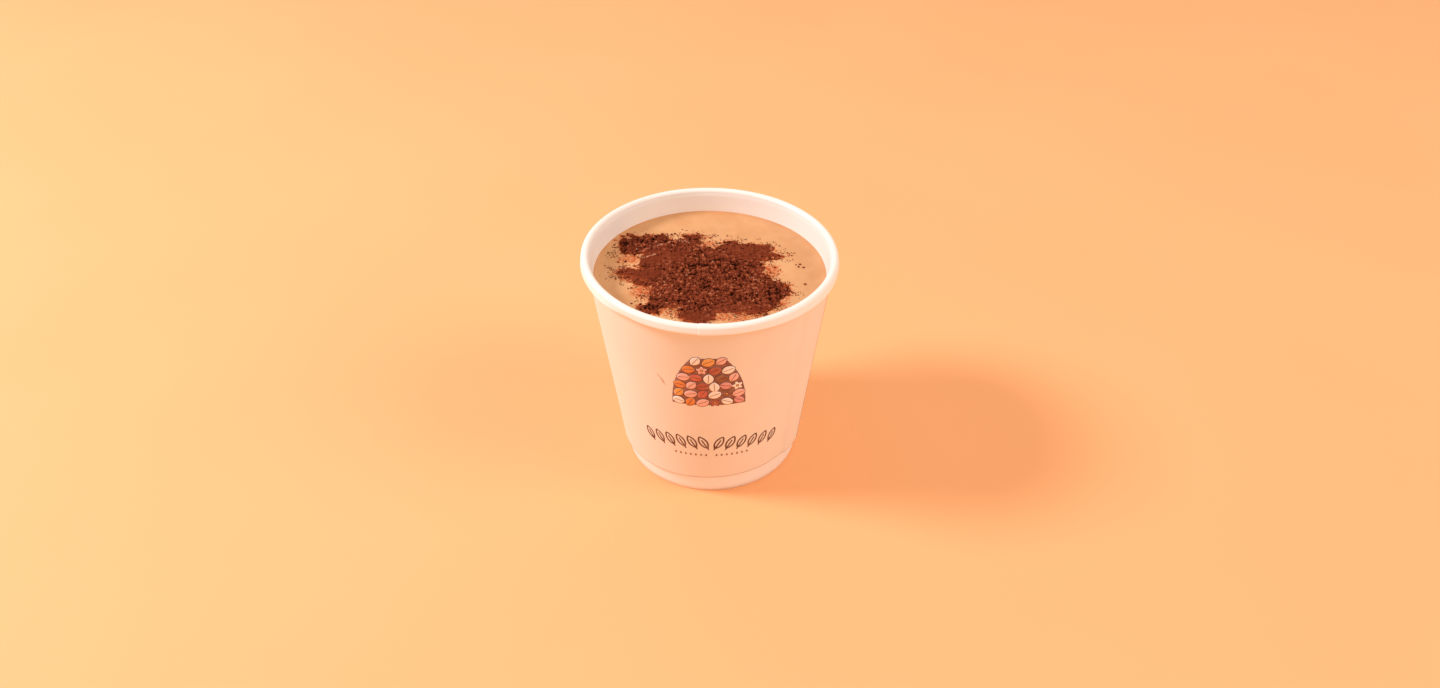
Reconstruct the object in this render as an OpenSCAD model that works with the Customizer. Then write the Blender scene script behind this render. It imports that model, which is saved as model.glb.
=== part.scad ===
// A small double-wall paper cup of milky hot chocolate with cocoa powder scattered on top.
// The origin is at the middle of the foot, on the surface that the cup stands on.
// +Z is up, and -Y is the front, where the print is. Turns round the cup are counted
// from the front towards +X.

/* [Cup] */
// Diameter over the rolled rim
rim_d = 62; // [51:0.1:75]
// Height from the surface to the top of the rim
cup_h = 58.5; // [48:0.1:71]
// Diameter of the foot where it stands
foot_d = 44; // [36:0.1:53]
// Thickness of the inner paper wall
wall_t = 0.4; // [0.3:0.05:0.6]

/* [Rolled rim] */
// Width of the roll, from the inside of the wall to its outside
roll_w = 2.3; // [1.8:0.1:3]
// Height of the roll
roll_h = 2.7; // [2.5:0.1:3.5]

/* [Raised bottom] */
// Height of the bottom's upper side above the surface
bottom_z = 6.4; // [5:0.1:8]
// Thickness of the bottom's board
bottom_t = 0.4; // [0.3:0.05:0.6]
// Gap between the lower edge of the bottom's skirt and the folded foot
skirt_gap = 0.8; // [0.1:0.1:2]
// Gap between the bottom and the wall's edge, folded up inside the skirt
fold_gap = 1.4; // [0.2:0.1:3]
// Gap between papers that are glued to each other
glue_gap = 0.03; // [0.01:0.01:0.08]

/* [Outer sleeve] */
// Thickness of the sleeve
sleeve_t = 0.35; // [0.25:0.05:0.5]
// Height of the sleeve's lower edge above the surface, at its middle
sleeve_z = 6; // [4:0.1:9]
// How far the lower edge slants, up towards +X, in degrees
sleeve_slant = 2.5; // [0:0.1:3]
// Air gap between wall and sleeve at the top
sleeve_gap_top = 0.06; // [0.03:0.01:0.4]
// Air gap between wall and sleeve at the lower edge
sleeve_gap_foot = 0.3; // [0.1:0.05:0.8]
// Gap between the sleeve's upper edge and the roll
sleeve_roll_gap = 0.05; // [0.02:0.01:0.4]
// Turn at which the sleeve's flap ends on top of the other edge
flap_end = 69; // [60:1:100]
// Turn that the flap overlaps
flap_turn = 17; // [10:1:30]
// How far the flap's end stands off the sleeve
flap_lift = 0.3; // [0.15:0.05:0.45]

/* [Drink] */
// Depth of the drink's surface below the top of the rim
drink_drop = 6.2; // [6:0.1:12]
// Gap between the drink and the wall
drink_gap = 0.03; // [0.02:0.01:0.08]

/* [Cocoa powder] */
// Height of the powder at its middle
heap_h = 1.2; // [0.8:0.1:1.5]
// Height of its uneven edge
heap_edge = 0.3; // [0.2:0.05:0.5]
// Height of the clumps on it
heap_clump = 0.3; // [0:0.05:0.35]
// Distance from the wall to the hollows between its lobes
heap_inset = 14; // [12:0.5:16]
// Distance from the wall to the tip of its longest lobe, if it lay in the middle
heap_margin = 2.6; // [2.4:0.1:6]
// Where the powder's middle lies to the right of the cup's
heap_x = -0.5; // [-2:0.1:2]
// Where the powder's middle lies behind the cup's
heap_y = -2; // [-2:0.1:2]

/* [Hidden] */
$fn = 96;

rim_r = rim_d / 2;
foot_r = foot_d / 2;
// Middle of the roll's upper round
roll_r = rim_r - roll_w / 2;
roll_z = cup_h - roll_w / 2;
// Rise of the wall's radius with height, so that it meets the inside of the roll
wall_slope = (rim_r - roll_w - (foot_r - wall_t)) / roll_z;
wall_lean = atan(wall_slope);
drink_z = cup_h - drink_drop;
drink_r = wall_in(drink_z) - drink_gap;
sleeve_top_z = cup_h - roll_h - sleeve_roll_gap;
sleeve_foot_r = wall_out(sleeve_z) + sleeve_gap_foot + sleeve_t;
sleeve_top_r = wall_out(sleeve_top_z) + sleeve_gap_top + sleeve_t;
sleeve_slope = (sleeve_top_r - sleeve_foot_r) / (sleeve_top_z - sleeve_z);
// Drop of the slanted edge at the sleeve's low side
slant_drop = sleeve_foot_r * tan(sleeve_slant);

// Lobes of the powder: turn from +X, share of the longest reach, and half width in degrees
LOBES = [
    [142, 1.00, 14], [103, 0.52, 9], [49, 0.56, 19], [26, 0.26, 8], [-16, 0.54, 16],
    [-56, 0.50, 11], [-97, 0.48, 13], [-134, 0.38, 8], [181, 0.62, 11]
];
HEAP_SECTORS = 96;
HEAP_RINGS = 14;

function wall_in(z) = foot_r - wall_t + wall_slope * z;
function wall_out(z) = wall_in(z) + wall_t;
function sleeve_out(z) = sleeve_foot_r + sleeve_slope * (z - sleeve_z);

// Outside and inside of the skirt, glued between the wall and its folded edge
function skirt_out(z) = wall_in(z) - glue_gap;
function skirt_in(z) = skirt_out(z) - bottom_t;

// Smallest turn between two directions
function turn_gap(a, b) = abs((a - b + 540) % 360 - 180);
function sum(list, i = 0) = i < len(list) ? list[i] + sum(list, i + 1) : 0;
function lobe_reach(a) = sum([for (l = LOBES) l[1] * exp(-pow(turn_gap(a, l[0]) / l[2], 2))]);
function ragged(a) = 0.35 * sin(9 * a + 20) + 0.3 * sin(17 * a + 75) + 0.25 * sin(29 * a + 130);

// Distance from the powder's middle to its edge
function heap_outline(a) =
    drink_r - heap_inset + (heap_inset - heap_margin) * lobe_reach(a) + ragged(a);

// Clumps, fading out towards the edge
function clumps(x, y, share) =
    heap_clump * (1 - pow(share, 4)) * 0.5 *
    (sin(97 * x + 40 * y) * sin(83 * y - 25 * x + 60) + sin(61 * x - 110 * y + 15));

function heap_height(x, y, share) =
    heap_edge + (heap_h - heap_edge) * (1 - pow(share, 2.4)) + clumps(x, y, share);

function heap_point(ring, sector) =
    let (
        a = 360 * sector / HEAP_SECTORS,
        share = ring / HEAP_RINGS,
        x = share * heap_outline(a) * cos(a),
        y = share * heap_outline(a) * sin(a)
    )
    [x, y, heap_height(x, y, share)];

// Number of a point on a ring of the powder
function at(ring, sector) = 1 + (ring - 1) * HEAP_SECTORS + sector % HEAP_SECTORS;

// Upright section of the roll: two half rounds joined by a band, leaning as the wall does
module roll_section() {
    band_h = roll_h - roll_w;
    translate([roll_r, roll_z]) rotate(-wall_lean) union() {
        circle(d = roll_w);
        translate([0, -band_h]) circle(d = roll_w);
        translate([-roll_w / 2, -band_h]) square([roll_w, band_h]);
    }
}

// White inner wall, with its rolled rim and its edge folded up inside the foot
module cup_body() color("white") {
    fold_out = skirt_in(0) - glue_gap;
    fold_h = bottom_z - bottom_t - fold_gap;
    rotate_extrude() union() {
        roll_section();
        polygon([
            [wall_out(0), 0],
            [wall_out(roll_z), roll_z],
            [wall_in(roll_z), roll_z],
            [wall_in(wall_t), wall_t],
            [fold_out + wall_slope * wall_t, wall_t],
            [fold_out + wall_slope * fold_h, fold_h],
            [fold_out + wall_slope * fold_h - wall_t, fold_h],
            [fold_out - wall_t, 0]
        ]);
    }
}

// Raised bottom, with its skirt turned down
module cup_bottom() color("white") {
    skirt_low = wall_t + skirt_gap;
    under = bottom_z - bottom_t;
    rotate_extrude() polygon([
        [0, under],
        [skirt_in(under), under],
        [skirt_in(skirt_low), skirt_low],
        [skirt_out(skirt_low), skirt_low],
        [skirt_out(bottom_z), bottom_z],
        [0, bottom_z]
    ]);
}

// Upright section of the sleeve, long enough below for the slanted edge
module sleeve_section() {
    low = sleeve_z - slant_drop - 1;
    polygon([
        [sleeve_out(low) - sleeve_t, low],
        [sleeve_out(low), low],
        [sleeve_out(sleeve_top_z), sleeve_top_z],
        [sleeve_out(sleeve_top_z) - sleeve_t, sleeve_top_z]
    ]);
}

// Blush outer wall: a wrapped cone whose flap climbs over its other edge, cut on a slant
module cup_sleeve() color([0.98, 0.84, 0.74]) {
    // The flap is a slice of the cone moved sideways, so that its lift grows from none
    flap_shift = flap_lift / sin(flap_turn);
    shift_turn = flap_end - flap_turn;
    difference() {
        union() {
            rotate_extrude() sleeve_section();
            translate(flap_shift * [cos(shift_turn), sin(shift_turn), 0])
                rotate([0, 0, flap_end - flap_turn - 90])
                    rotate_extrude(angle = flap_turn) sleeve_section();
        }
        translate([0, 0, sleeve_z]) rotate([0, -sleeve_slant, 0])
            translate([0, 0, -rim_r]) cube([2 * rim_d, 2 * rim_d, rim_d], center = true);
    }
}

// Milky drink, from the raised bottom up to its level
module drink() color([0.84, 0.6, 0.4]) {
    rotate_extrude() polygon([
        [0, bottom_z],
        [wall_in(bottom_z) - drink_gap, bottom_z],
        [drink_r, drink_z],
        [0, drink_z]
    ]);
}

// Low uneven powder, resting on the drink
module cocoa_powder() color([0.35, 0.16, 0.1]) {
    top = [for (r = [1 : HEAP_RINGS], s = [0 : HEAP_SECTORS - 1]) heap_point(r, s)];
    rim = [for (s = [0 : HEAP_SECTORS - 1]) let (p = heap_point(HEAP_RINGS, s)) [p[0], p[1], 0]];
    points = concat([heap_point(0, 0)], top, rim, [[0, 0, 0]]);
    foot_mid = len(points) - 1;
    middle = [for (s = [0 : HEAP_SECTORS - 1]) [0, at(1, s + 1), at(1, s)]];
    bands = [
        for (r = [1 : HEAP_RINGS], s = [0 : HEAP_SECTORS - 1])
            each [
                [at(r, s), at(r, s + 1), at(r + 1, s)],
                [at(r, s + 1), at(r + 1, s + 1), at(r + 1, s)]
            ]
    ];
    under = [
        for (s = [0 : HEAP_SECTORS - 1])
            [foot_mid, at(HEAP_RINGS + 1, s), at(HEAP_RINGS + 1, s + 1)]
    ];
    translate([heap_x, heap_y, drink_z]) polyhedron(points, concat(middle, bands, under));
}

cup_body();
cup_bottom();
cup_sleeve();
drink();
cocoa_powder();
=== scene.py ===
"""Small double-wall paper cup of milky hot chocolate, with cocoa powder on top.

Sizes are in millimetres, and a mesh is turned into metres as it is made. Turns round the cup
are in degrees from the front (-Y) towards +X. Flat places are x to the right and y to the back,
from the cup's axis.
"""

from __future__ import annotations

import logging
import math
from collections.abc import Callable
from dataclasses import dataclass, field
from enum import Enum
from typing import ClassVar

import bpy
import numpy as np
from mathutils import Matrix, Vector

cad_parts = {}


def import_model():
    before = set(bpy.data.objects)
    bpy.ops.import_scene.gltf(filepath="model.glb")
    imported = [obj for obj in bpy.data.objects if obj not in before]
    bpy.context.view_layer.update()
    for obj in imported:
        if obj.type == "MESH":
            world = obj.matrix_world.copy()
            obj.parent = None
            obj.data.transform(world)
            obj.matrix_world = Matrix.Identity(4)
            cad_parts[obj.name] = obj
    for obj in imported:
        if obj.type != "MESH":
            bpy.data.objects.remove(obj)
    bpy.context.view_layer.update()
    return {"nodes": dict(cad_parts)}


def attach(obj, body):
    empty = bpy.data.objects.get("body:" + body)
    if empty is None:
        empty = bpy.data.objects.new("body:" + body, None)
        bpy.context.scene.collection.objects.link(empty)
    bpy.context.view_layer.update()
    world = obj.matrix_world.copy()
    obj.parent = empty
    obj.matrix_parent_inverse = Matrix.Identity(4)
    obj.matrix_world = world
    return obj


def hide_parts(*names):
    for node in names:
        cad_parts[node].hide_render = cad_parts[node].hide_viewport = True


LOG = logging.getLogger("hot_chocolate")
MM = 0.001
BODY = "root"

Input = float | str | tuple[float, ...] | bpy.types.ID | bpy.types.NodeSocket


# ---------------------------------------------------------------- numbers and noise


def srgb(red: float, green: float, blue: float) -> tuple[float, float, float]:
    """Turns a display colour into the linear one that a shader takes.

    Args:
        red, green, blue: The display colour, each from 0 to 255.

    Returns:
        The linear colour, each part from 0 to 1.
    """
    parts = [value / 255 for value in (red, green, blue)]
    return tuple(p / 12.92 if p <= 0.04045 else ((p + 0.055) / 1.055) ** 2.4 for p in parts)


def ease(low: float, high: float, value: np.ndarray | float) -> np.ndarray:
    """Climbs smoothly from 0 at low to 1 at high."""
    share = np.clip((value - low) / (high - low), 0, 1)
    return share * share * (3 - 2 * share)


def around(turn: np.ndarray | float, radius: np.ndarray | float, z: np.ndarray | float) -> np.ndarray:
    """Gives points round the cup's axis.

    Args:
        turn: Turn from the front towards +X, in degrees.
        radius: Distance from the axis.
        z: Height.

    Returns:
        The points, with x, y and z in the last dimension.
    """
    angle = np.radians(turn)
    return np.stack(np.broadcast_arrays(radius * np.sin(angle), -radius * np.cos(angle), z), -1)


def arc(
    middle: tuple[float, float], reach: float | tuple[float, float], start: float, stop: float, count: int
) -> np.ndarray:
    """Gives points along an arc in a plane.

    Args:
        middle: The arc's middle.
        reach: Its radius, or its reach along each axis.
        start, stop: Its first and last angle, in degrees.
        count: How many points it has.

    Returns:
        The points, one to a row.
    """
    bend = np.radians(np.linspace(start, stop, count))
    return np.array(middle) + np.array(reach) * np.stack([np.cos(bend), np.sin(bend)], -1)


def scrambled(ix: np.ndarray, iy: np.ndarray, seed: int) -> np.ndarray:
    """Gives each cell of a plane its own fixed number from 0 to 1."""
    mixed = (ix.astype(np.int64) * 374761393 + iy.astype(np.int64) * 668265263 + seed * 974711) & 0xFFFFFFFF
    mixed = ((mixed ^ (mixed >> 13)) * 1274126177) & 0xFFFFFFFF
    return ((mixed ^ (mixed >> 16)) & 0xFFFF) / 65535


@dataclass(frozen=True)
class Noise:
    """Smooth noise on a plane, from -1 to 1, the same in each run."""

    size: float
    seed: int

    def at(self, x: np.ndarray, y: np.ndarray) -> np.ndarray:
        """Gives the noise at flat places.

        Args:
            x, y: The places.

        Returns:
            The noise there.
        """
        u, v = np.asarray(x) / self.size, np.asarray(y) / self.size
        iu, iv = np.floor(u), np.floor(v)
        su, sv = ease(0, 1, u - iu), ease(0, 1, v - iv)
        corner = [[scrambled(iu + i, iv + j, self.seed) for j in (0, 1)] for i in (0, 1)]
        near = corner[0][0] * (1 - su) + corner[1][0] * su
        far = corner[0][1] * (1 - su) + corner[1][1] * su
        return 2 * (near * (1 - sv) + far * sv) - 1


@dataclass(frozen=True)
class Lumps:
    """Round lumps on a plane, one to a cell of the given pitch, each of its own size."""

    pitch: float
    seed: int
    reach: tuple[float, float]
    wander: float = 0.8

    def at(self, x: np.ndarray, y: np.ndarray) -> np.ndarray:
        """Gives the height of the lumps at flat places, from 0 to 1."""
        height = np.zeros(np.shape(x))
        iu, iv = np.floor(x / self.pitch), np.floor(y / self.pitch)
        for di in (-1, 0, 1):
            for dj in (-1, 0, 1):
                cu, cv = iu + di, iv + dj
                mid_x = (cu + 0.5 + self.wander * (scrambled(cu, cv, self.seed) - 0.5)) * self.pitch
                mid_y = (cv + 0.5 + self.wander * (scrambled(cu, cv, self.seed + 1) - 0.5)) * self.pitch
                size = scrambled(cu, cv, self.seed + 2)
                reach = self.pitch * (self.reach[0] + (self.reach[1] - self.reach[0]) * size)
                left = 1 - ((x - mid_x) ** 2 + (y - mid_y) ** 2) / reach**2
                height = np.maximum(height, np.sqrt(np.clip(left, 0, 1)) * (0.5 + 0.5 * size))
        return height


# ---------------------------------------------------------------- meshes


class Draft:
    """Points and faces of a piece while it is made, with named values at each point."""

    def __init__(self, *values: str) -> None:
        """Starts an empty draft.

        Args:
            values: Names of the values that each point carries.
        """
        self._points: list[np.ndarray] = []
        self._faces: list[list[int]] = []
        self._values: dict[str, list[np.ndarray]] = {name: [] for name in values}
        self._colours: list[np.ndarray] = []
        self._count = 0

    def points(
        self, places: np.ndarray, colour: tuple[float, ...] | None = None, **values: np.ndarray | float
    ) -> np.ndarray:
        """Adds points.

        Args:
            places: The points, with x, y and z in the last dimension.
            colour: One linear colour for all of them, where the piece has an ink colour.
            values: The named values, one number or one for each point.

        Returns:
            The points' numbers, in the same layout.
        """
        layout = places.shape[:-1]
        total = int(np.prod(layout))
        self._points.append(places.reshape(-1, 3))
        for name, kept in self._values.items():
            kept.append(np.broadcast_to(values.get(name, 0.0), layout).ravel())
        if colour is not None:
            self._colours.append(np.tile([*colour, 1.0], (total, 1)))
        ids = np.arange(self._count, self._count + total).reshape(layout)
        self._count += total
        return ids

    def quads(self, corners: np.ndarray) -> None:
        """Adds four-cornered faces, given as rows of four point numbers."""
        self._faces.extend(corners.reshape(-1, 4).tolist())

    def sheet(self, ids: np.ndarray, wrap_rows: bool = False, wrap_columns: bool = False) -> None:
        """Adds the faces between neighbouring rows and columns of points.

        Args:
            ids: The points' numbers, in rows and columns.
            wrap_rows: Joins the last row to the first.
            wrap_columns: Joins the last column to the first.
        """
        if wrap_rows:
            ids = np.concatenate([ids, ids[:1]], 0)
        if wrap_columns:
            ids = np.concatenate([ids, ids[:, :1]], 1)
        self.quads(np.stack([ids[:-1, :-1], ids[:-1, 1:], ids[1:, 1:], ids[1:, :-1]], -1))

    def fan(self, middle: int, ring: np.ndarray) -> None:
        """Adds the triangles between a middle point and a closed ring."""
        after = np.roll(ring, -1)
        self._faces.extend([int(middle), int(a), int(b)] for a, b in zip(ring, after))

    def piece(self, name: str, sharp: float | None = None) -> bpy.types.Object:
        """Makes the piece, with its faces outwards.

        Args:
            name: The piece's name.
            sharp: Edges that turn by more than this many degrees stay crisp.

        Returns:
            The object, in the scene.
        """
        mesh = bpy.data.meshes.new(name)
        mesh.from_pydata((np.concatenate(self._points) * MM).tolist(), [], self._faces)
        for value, kept in self._values.items():
            layer = mesh.attributes.new(value, "FLOAT", "POINT")
            layer.data.foreach_set("value", np.concatenate(kept).astype(np.float32))
        if self._colours:
            layer = mesh.attributes.new("ink", "FLOAT_COLOR", "POINT")
            layer.data.foreach_set("color", np.concatenate(self._colours).astype(np.float32).ravel())
        if signed_volume(mesh) < 0:
            mesh.flip_normals()
        mesh.shade_smooth()
        if sharp is not None:
            mesh.set_sharp_from_angle(angle=math.radians(sharp))
        mesh.validate()
        return shown(name, mesh)


def signed_volume(mesh: bpy.types.Mesh) -> float:
    """Gives the volume inside a closed mesh, below 0 where its faces point inwards."""
    mesh.calc_loop_triangles()
    corners = np.zeros(len(mesh.loop_triangles) * 3, np.int32)
    mesh.loop_triangles.foreach_get("vertices", corners)
    places = np.zeros(len(mesh.vertices) * 3, np.float32)
    mesh.vertices.foreach_get("co", places)
    a, b, c = places.reshape(-1, 3)[corners.reshape(-1, 3)].transpose(1, 0, 2).astype(float)
    return float(np.einsum("ij,ij->i", a, np.cross(b, c)).sum() / 6)


def shown(name: str, mesh: bpy.types.Mesh) -> bpy.types.Object:
    """Puts a mesh in the scene as an object of that name."""
    piece = bpy.data.objects.new(name, mesh)
    bpy.context.scene.collection.objects.link(piece)
    return piece


def settle(piece: bpy.types.Object, slot: str, *nodes: str) -> None:
    """Hands a finished piece to the frame.

    Args:
        piece: The finished piece.
        slot: The name of the slot of its finish, which is only logged.
        nodes: The nodes that it stands for.
    """
    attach(piece, BODY)
    if nodes:
        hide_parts(*nodes)
    LOG.info("%s: %d faces, slot %s", piece.name, len(piece.data.polygons), slot)


# ---------------------------------------------------------------- sizes from the frame


@dataclass(frozen=True)
class Ruler:
    """Reads radii and heights off a node's points."""

    radius: np.ndarray
    x: np.ndarray
    y: np.ndarray
    z: np.ndarray

    @classmethod
    def of(cls, node: bpy.types.Object) -> Ruler:
        """Makes the ruler of a node."""
        places = np.zeros(len(node.data.vertices) * 3, np.float32)
        node.data.vertices.foreach_get("co", places)
        places = places.reshape(-1, 3).astype(float) / MM
        return cls(np.hypot(places[:, 0], places[:, 1]), *places.T)

    def radii(self, low: float, high: float, behind: bool = False) -> np.ndarray:
        """Gives the radii of the points between two heights.

        Args:
            low, high: The heights.
            behind: Counts only points in the back half, clear of the sleeve's flap.

        Returns:
            The radii.
        """
        kept = (self.z >= low) & (self.z <= high)
        return self.radius[kept & (self.y > 0)] if behind else self.radius[kept]


@dataclass(frozen=True)
class CupSizes:
    """The cup's sizes, all read off the frame."""

    rim_r: float
    height: float
    foot_r: float
    wall_t: float
    wall_slope: float
    roll_h: float
    fold_r: float
    fold_h: float
    bottom_z: float
    sleeve_t: float
    sleeve_foot_r: float
    sleeve_slope: float
    sleeve_low: float
    sleeve_top: float
    sleeve_rise: float
    drink_z: float

    @classmethod
    def from_frame(cls, nodes: dict[str, bpy.types.Object]) -> CupSizes:
        """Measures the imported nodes.

        Args:
            nodes: The frame's nodes by name.

        Returns:
            The sizes.
        """
        near = 0.05
        cup, sleeve, drink = (Ruler.of(nodes[name]) for name in ("cup_body", "cup_sleeve", "drink"))
        rim_r, height = cup.radius.max(), cup.z.max()
        foot = cup.radii(-near, near)
        bottom_z, drink_z = drink.z.min(), drink.z.max()
        low_r = drink.radii(bottom_z - near, bottom_z + near).max()
        top_r = drink.radii(drink_z - near, drink_z + near).max()
        slope = (top_r - low_r) / (drink_z - bottom_z)
        gap = 0.03
        wall_t = foot.max() - (low_r + gap - slope * bottom_z)
        inner = cup.radius < foot.max() - wall_t - gap + slope * cup.z - wall_t / 2
        sleeve_top = sleeve.z.max()
        top = sleeve.radii(sleeve_top - near, sleeve_top + near, behind=True)
        low_side = sleeve.radii(sleeve.z.min() - near, sleeve.z.min() + near)
        right = sleeve.x > 0.99 * sleeve.radius
        rise = (sleeve.z[right].min() - sleeve.z.min()) / 2
        mid_z = sleeve.z.min() + rise
        foot_slope = (top.max() - low_side.max()) / (sleeve_top - sleeve.z.min())
        return cls(
            rim_r=rim_r,
            height=height,
            foot_r=foot.max(),
            wall_t=wall_t,
            wall_slope=slope,
            roll_h=height - sleeve_top,
            fold_r=foot.min(),
            fold_h=cup.z[inner & (cup.z < bottom_z)].max(),
            bottom_z=bottom_z,
            sleeve_t=top.max() - top.min(),
            sleeve_foot_r=top.max() - foot_slope * (sleeve_top - mid_z),
            sleeve_slope=foot_slope,
            sleeve_low=mid_z,
            sleeve_top=sleeve_top,
            sleeve_rise=rise,
            drink_z=drink_z,
        )

    def wall_in(self, z: np.ndarray | float) -> np.ndarray | float:
        """Gives the inside radius of the wall."""
        return self.foot_r - self.wall_t + self.wall_slope * z

    def wall_out(self, z: np.ndarray | float) -> np.ndarray | float:
        """Gives the outside radius of the wall."""
        return self.wall_in(z) + self.wall_t


@dataclass(frozen=True)
class Lean:
    """The slight lean of the mouth: its left side is a little higher than its right."""

    per_mm: float = -0.020
    from_z: float = 28.0
    to_z: float = 56.0

    def raised(self, places: np.ndarray) -> np.ndarray:
        """Leans points of the wall, more the higher they are.

        Args:
            places: Points of the level cup.

        Returns:
            The same points, leaned.
        """
        leaned = places.copy()
        leaned[..., 2] += self.per_mm * places[..., 0] * ease(self.from_z, self.to_z, places[..., 2])
        return leaned

    def level(self, x: np.ndarray) -> np.ndarray:
        """Gives the drink's rise at x, where it follows the mouth."""
        return self.per_mm * x


def turns_with_detail(count: int, details: list[float]) -> np.ndarray:
    """Gives turns all the way round, closer together at fine details.

    Args:
        count: How many even turns there are.
        details: The turns of the fine details.

    Returns:
        The turns in order, from -180 up to but without 180.
    """
    steps = np.array([-1.2, -0.8, -0.5, -0.3, -0.18, -0.08, 0.0, 0.08, 0.18, 0.3, 0.5, 0.8, 1.2])
    even = np.linspace(-180, 180, count, endpoint=False)
    clear = [np.abs(even - turn) > steps[-1] + 0.1 for turn in details]
    return np.sort(np.concatenate([even[np.all(clear, 0)], *[turn + steps for turn in details]]))


# ---------------------------------------------------------------- finishes


class Nodes:
    """Adds and joins the nodes of one tree."""

    def __init__(self, tree: bpy.types.NodeTree) -> None:
        """Takes the tree that the nodes go in."""
        self.tree = tree

    def add(self, kind: str, settings: dict[str, str] | None = None, **inputs: Input) -> bpy.types.Node:
        """Adds a node.

        Args:
            kind: The node's type.
            settings: The node's own settings by name.
            inputs: Its inputs by name, with _ for a space: a value, or another node's output.

        Returns:
            The node.
        """
        node = self.tree.nodes.new(kind)
        for name, value in (settings or {}).items():
            setattr(node, name, value)
        for name, value in inputs.items():
            self.feed(node, name.replace("_", " "), value)
        return node

    def feed(self, node: bpy.types.Node, name: str | int, value: Input) -> None:
        """Sets one input of a node, or joins another node's output to it."""
        self.give(node.inputs[name], value)

    def give(self, socket: bpy.types.NodeSocket, value: Input) -> None:
        """Sets an input socket, or joins another node's output to it."""
        if isinstance(value, bpy.types.NodeSocket):
            self.tree.links.new(value, socket)
        elif isinstance(value, tuple) and len(value) == 3 and socket.type == "RGBA":
            socket.default_value = (*value, 1.0)
        else:
            socket.default_value = value

    def math(self, operation: str, first: Input, second: Input) -> bpy.types.NodeSocket:
        """Adds one step of arithmetic on two values, and gives its result."""
        node = self.tree.nodes.new("ShaderNodeMath")
        node.operation = operation
        self.feed(node, 0, first)
        self.feed(node, 1, second)
        return node.outputs[0]

    def blend(self, share: Input, first: Input, second: Input) -> bpy.types.NodeSocket:
        """Mixes two colours by a share, from all first to all second, and gives the result."""
        node = self.tree.nodes.new("ShaderNodeMix")
        node.data_type = "RGBA"
        self.feed(node, 0, share)
        self.feed(node, 6, first)
        self.feed(node, 7, second)
        return node.outputs[2]

    def spread(
        self, value: Input, low: float, high: float, to_low: float = 0.0, to_high: float = 1.0
    ) -> bpy.types.NodeSocket:
        """Stretches values between two limits to a new range, and gives the result."""
        node = self.tree.nodes.new("ShaderNodeMapRange")
        node.interpolation_type = "SMOOTHSTEP"
        given = {"Value": value, "From Min": low, "From Max": high, "To Min": to_low, "To Max": to_high}
        for name, number in given.items():
            self.feed(node, name, number)
        return node.outputs["Result"]

    def attribute(self, name: str, output: str = "Fac") -> bpy.types.NodeSocket:
        """Reads a value, or a colour, that the piece keeps at its points."""
        node = self.tree.nodes.new("ShaderNodeAttribute")
        node.attribute_name = name
        return node.outputs[output]


def new_group(
    name: str, inputs: dict[str, float], outputs: tuple[str, ...]
) -> tuple[Nodes, bpy.types.NodeInputs, bpy.types.Node]:
    """Starts a shader group whose named inputs and outputs are all numbers.

    Args:
        name: The group's name.
        inputs: Each input's first value, by name.
        outputs: The outputs' names.

    Returns:
        The group's node helper, its inputs' sockets and the node that takes its outputs.
    """
    tree = bpy.data.node_groups.new(name, "ShaderNodeTree")
    for label, value in inputs.items():
        socket = tree.interface.new_socket(name=label, in_out="INPUT", socket_type="NodeSocketFloat")
        socket.default_value = value
    for label in outputs:
        tree.interface.new_socket(name=label, in_out="OUTPUT", socket_type="NodeSocketFloat")
    nodes = Nodes(tree)
    return nodes, nodes.add("NodeGroupInput").outputs, nodes.add("NodeGroupOutput")


def paper_grain() -> bpy.types.NodeTree:
    """Builds the group for paper: faint clouds of tone, and fibres for the bump.

    Returns:
        The group, with the outputs Tone and Height.
    """
    start = {"Cloud Scale": 90.0, "Fibre Scale": 2600.0, "Stretch": 0.4}
    nodes, given, made = new_group("paper_grain", start, ("Tone", "Height"))
    place = nodes.add("ShaderNodeTexCoord").outputs["Object"]
    cloud = nodes.add("ShaderNodeTexNoise", Vector=place, Scale=given["Cloud Scale"], Detail=4.0)
    squeeze = nodes.add("ShaderNodeCombineXYZ", X=1.0, Y=1.0, Z=given["Stretch"])
    laid = nodes.add("ShaderNodeVectorMath", {"operation": "MULTIPLY"})
    nodes.feed(laid, 0, place)
    nodes.feed(laid, 1, squeeze.outputs[0])
    fibre = nodes.add("ShaderNodeTexNoise", Vector=laid.outputs[0], Scale=given["Fibre Scale"], Detail=3.0)
    nodes.feed(made, "Tone", cloud.outputs["Fac"])
    soft = nodes.math("MULTIPLY", cloud.outputs["Fac"], 0.6)
    nodes.feed(made, "Height", nodes.math("ADD", soft, fibre.outputs["Fac"]))
    return nodes.tree


def mottle() -> bpy.types.NodeTree:
    """Builds the group for drink, powder and floor: two sizes of soft patches.

    Returns:
        The group, with the outputs Broad and Fine.
    """
    start = {"Broad Scale": 200.0, "Fine Scale": 1500.0, "Warp": 0.002}
    nodes, given, made = new_group("mottle", start, ("Broad", "Fine"))
    place = nodes.add("ShaderNodeTexCoord").outputs["Object"]
    bend = nodes.add("ShaderNodeTexNoise", Vector=place, Scale=given["Broad Scale"], Detail=2.0)
    shift = nodes.add("ShaderNodeVectorMath", {"operation": "SCALE"}, Scale=given["Warp"])
    nodes.feed(shift, 0, bend.outputs["Color"])
    moved = nodes.add("ShaderNodeVectorMath", {"operation": "ADD"})
    nodes.feed(moved, 0, place)
    nodes.feed(moved, 1, shift.outputs[0])
    for label in ("Broad", "Fine"):
        scale = given[f"{label} Scale"]
        patch = nodes.add("ShaderNodeTexNoise", Vector=moved.outputs[0], Scale=scale, Detail=5.0)
        nodes.feed(made, label, patch.outputs["Fac"])
    return nodes.tree


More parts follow.
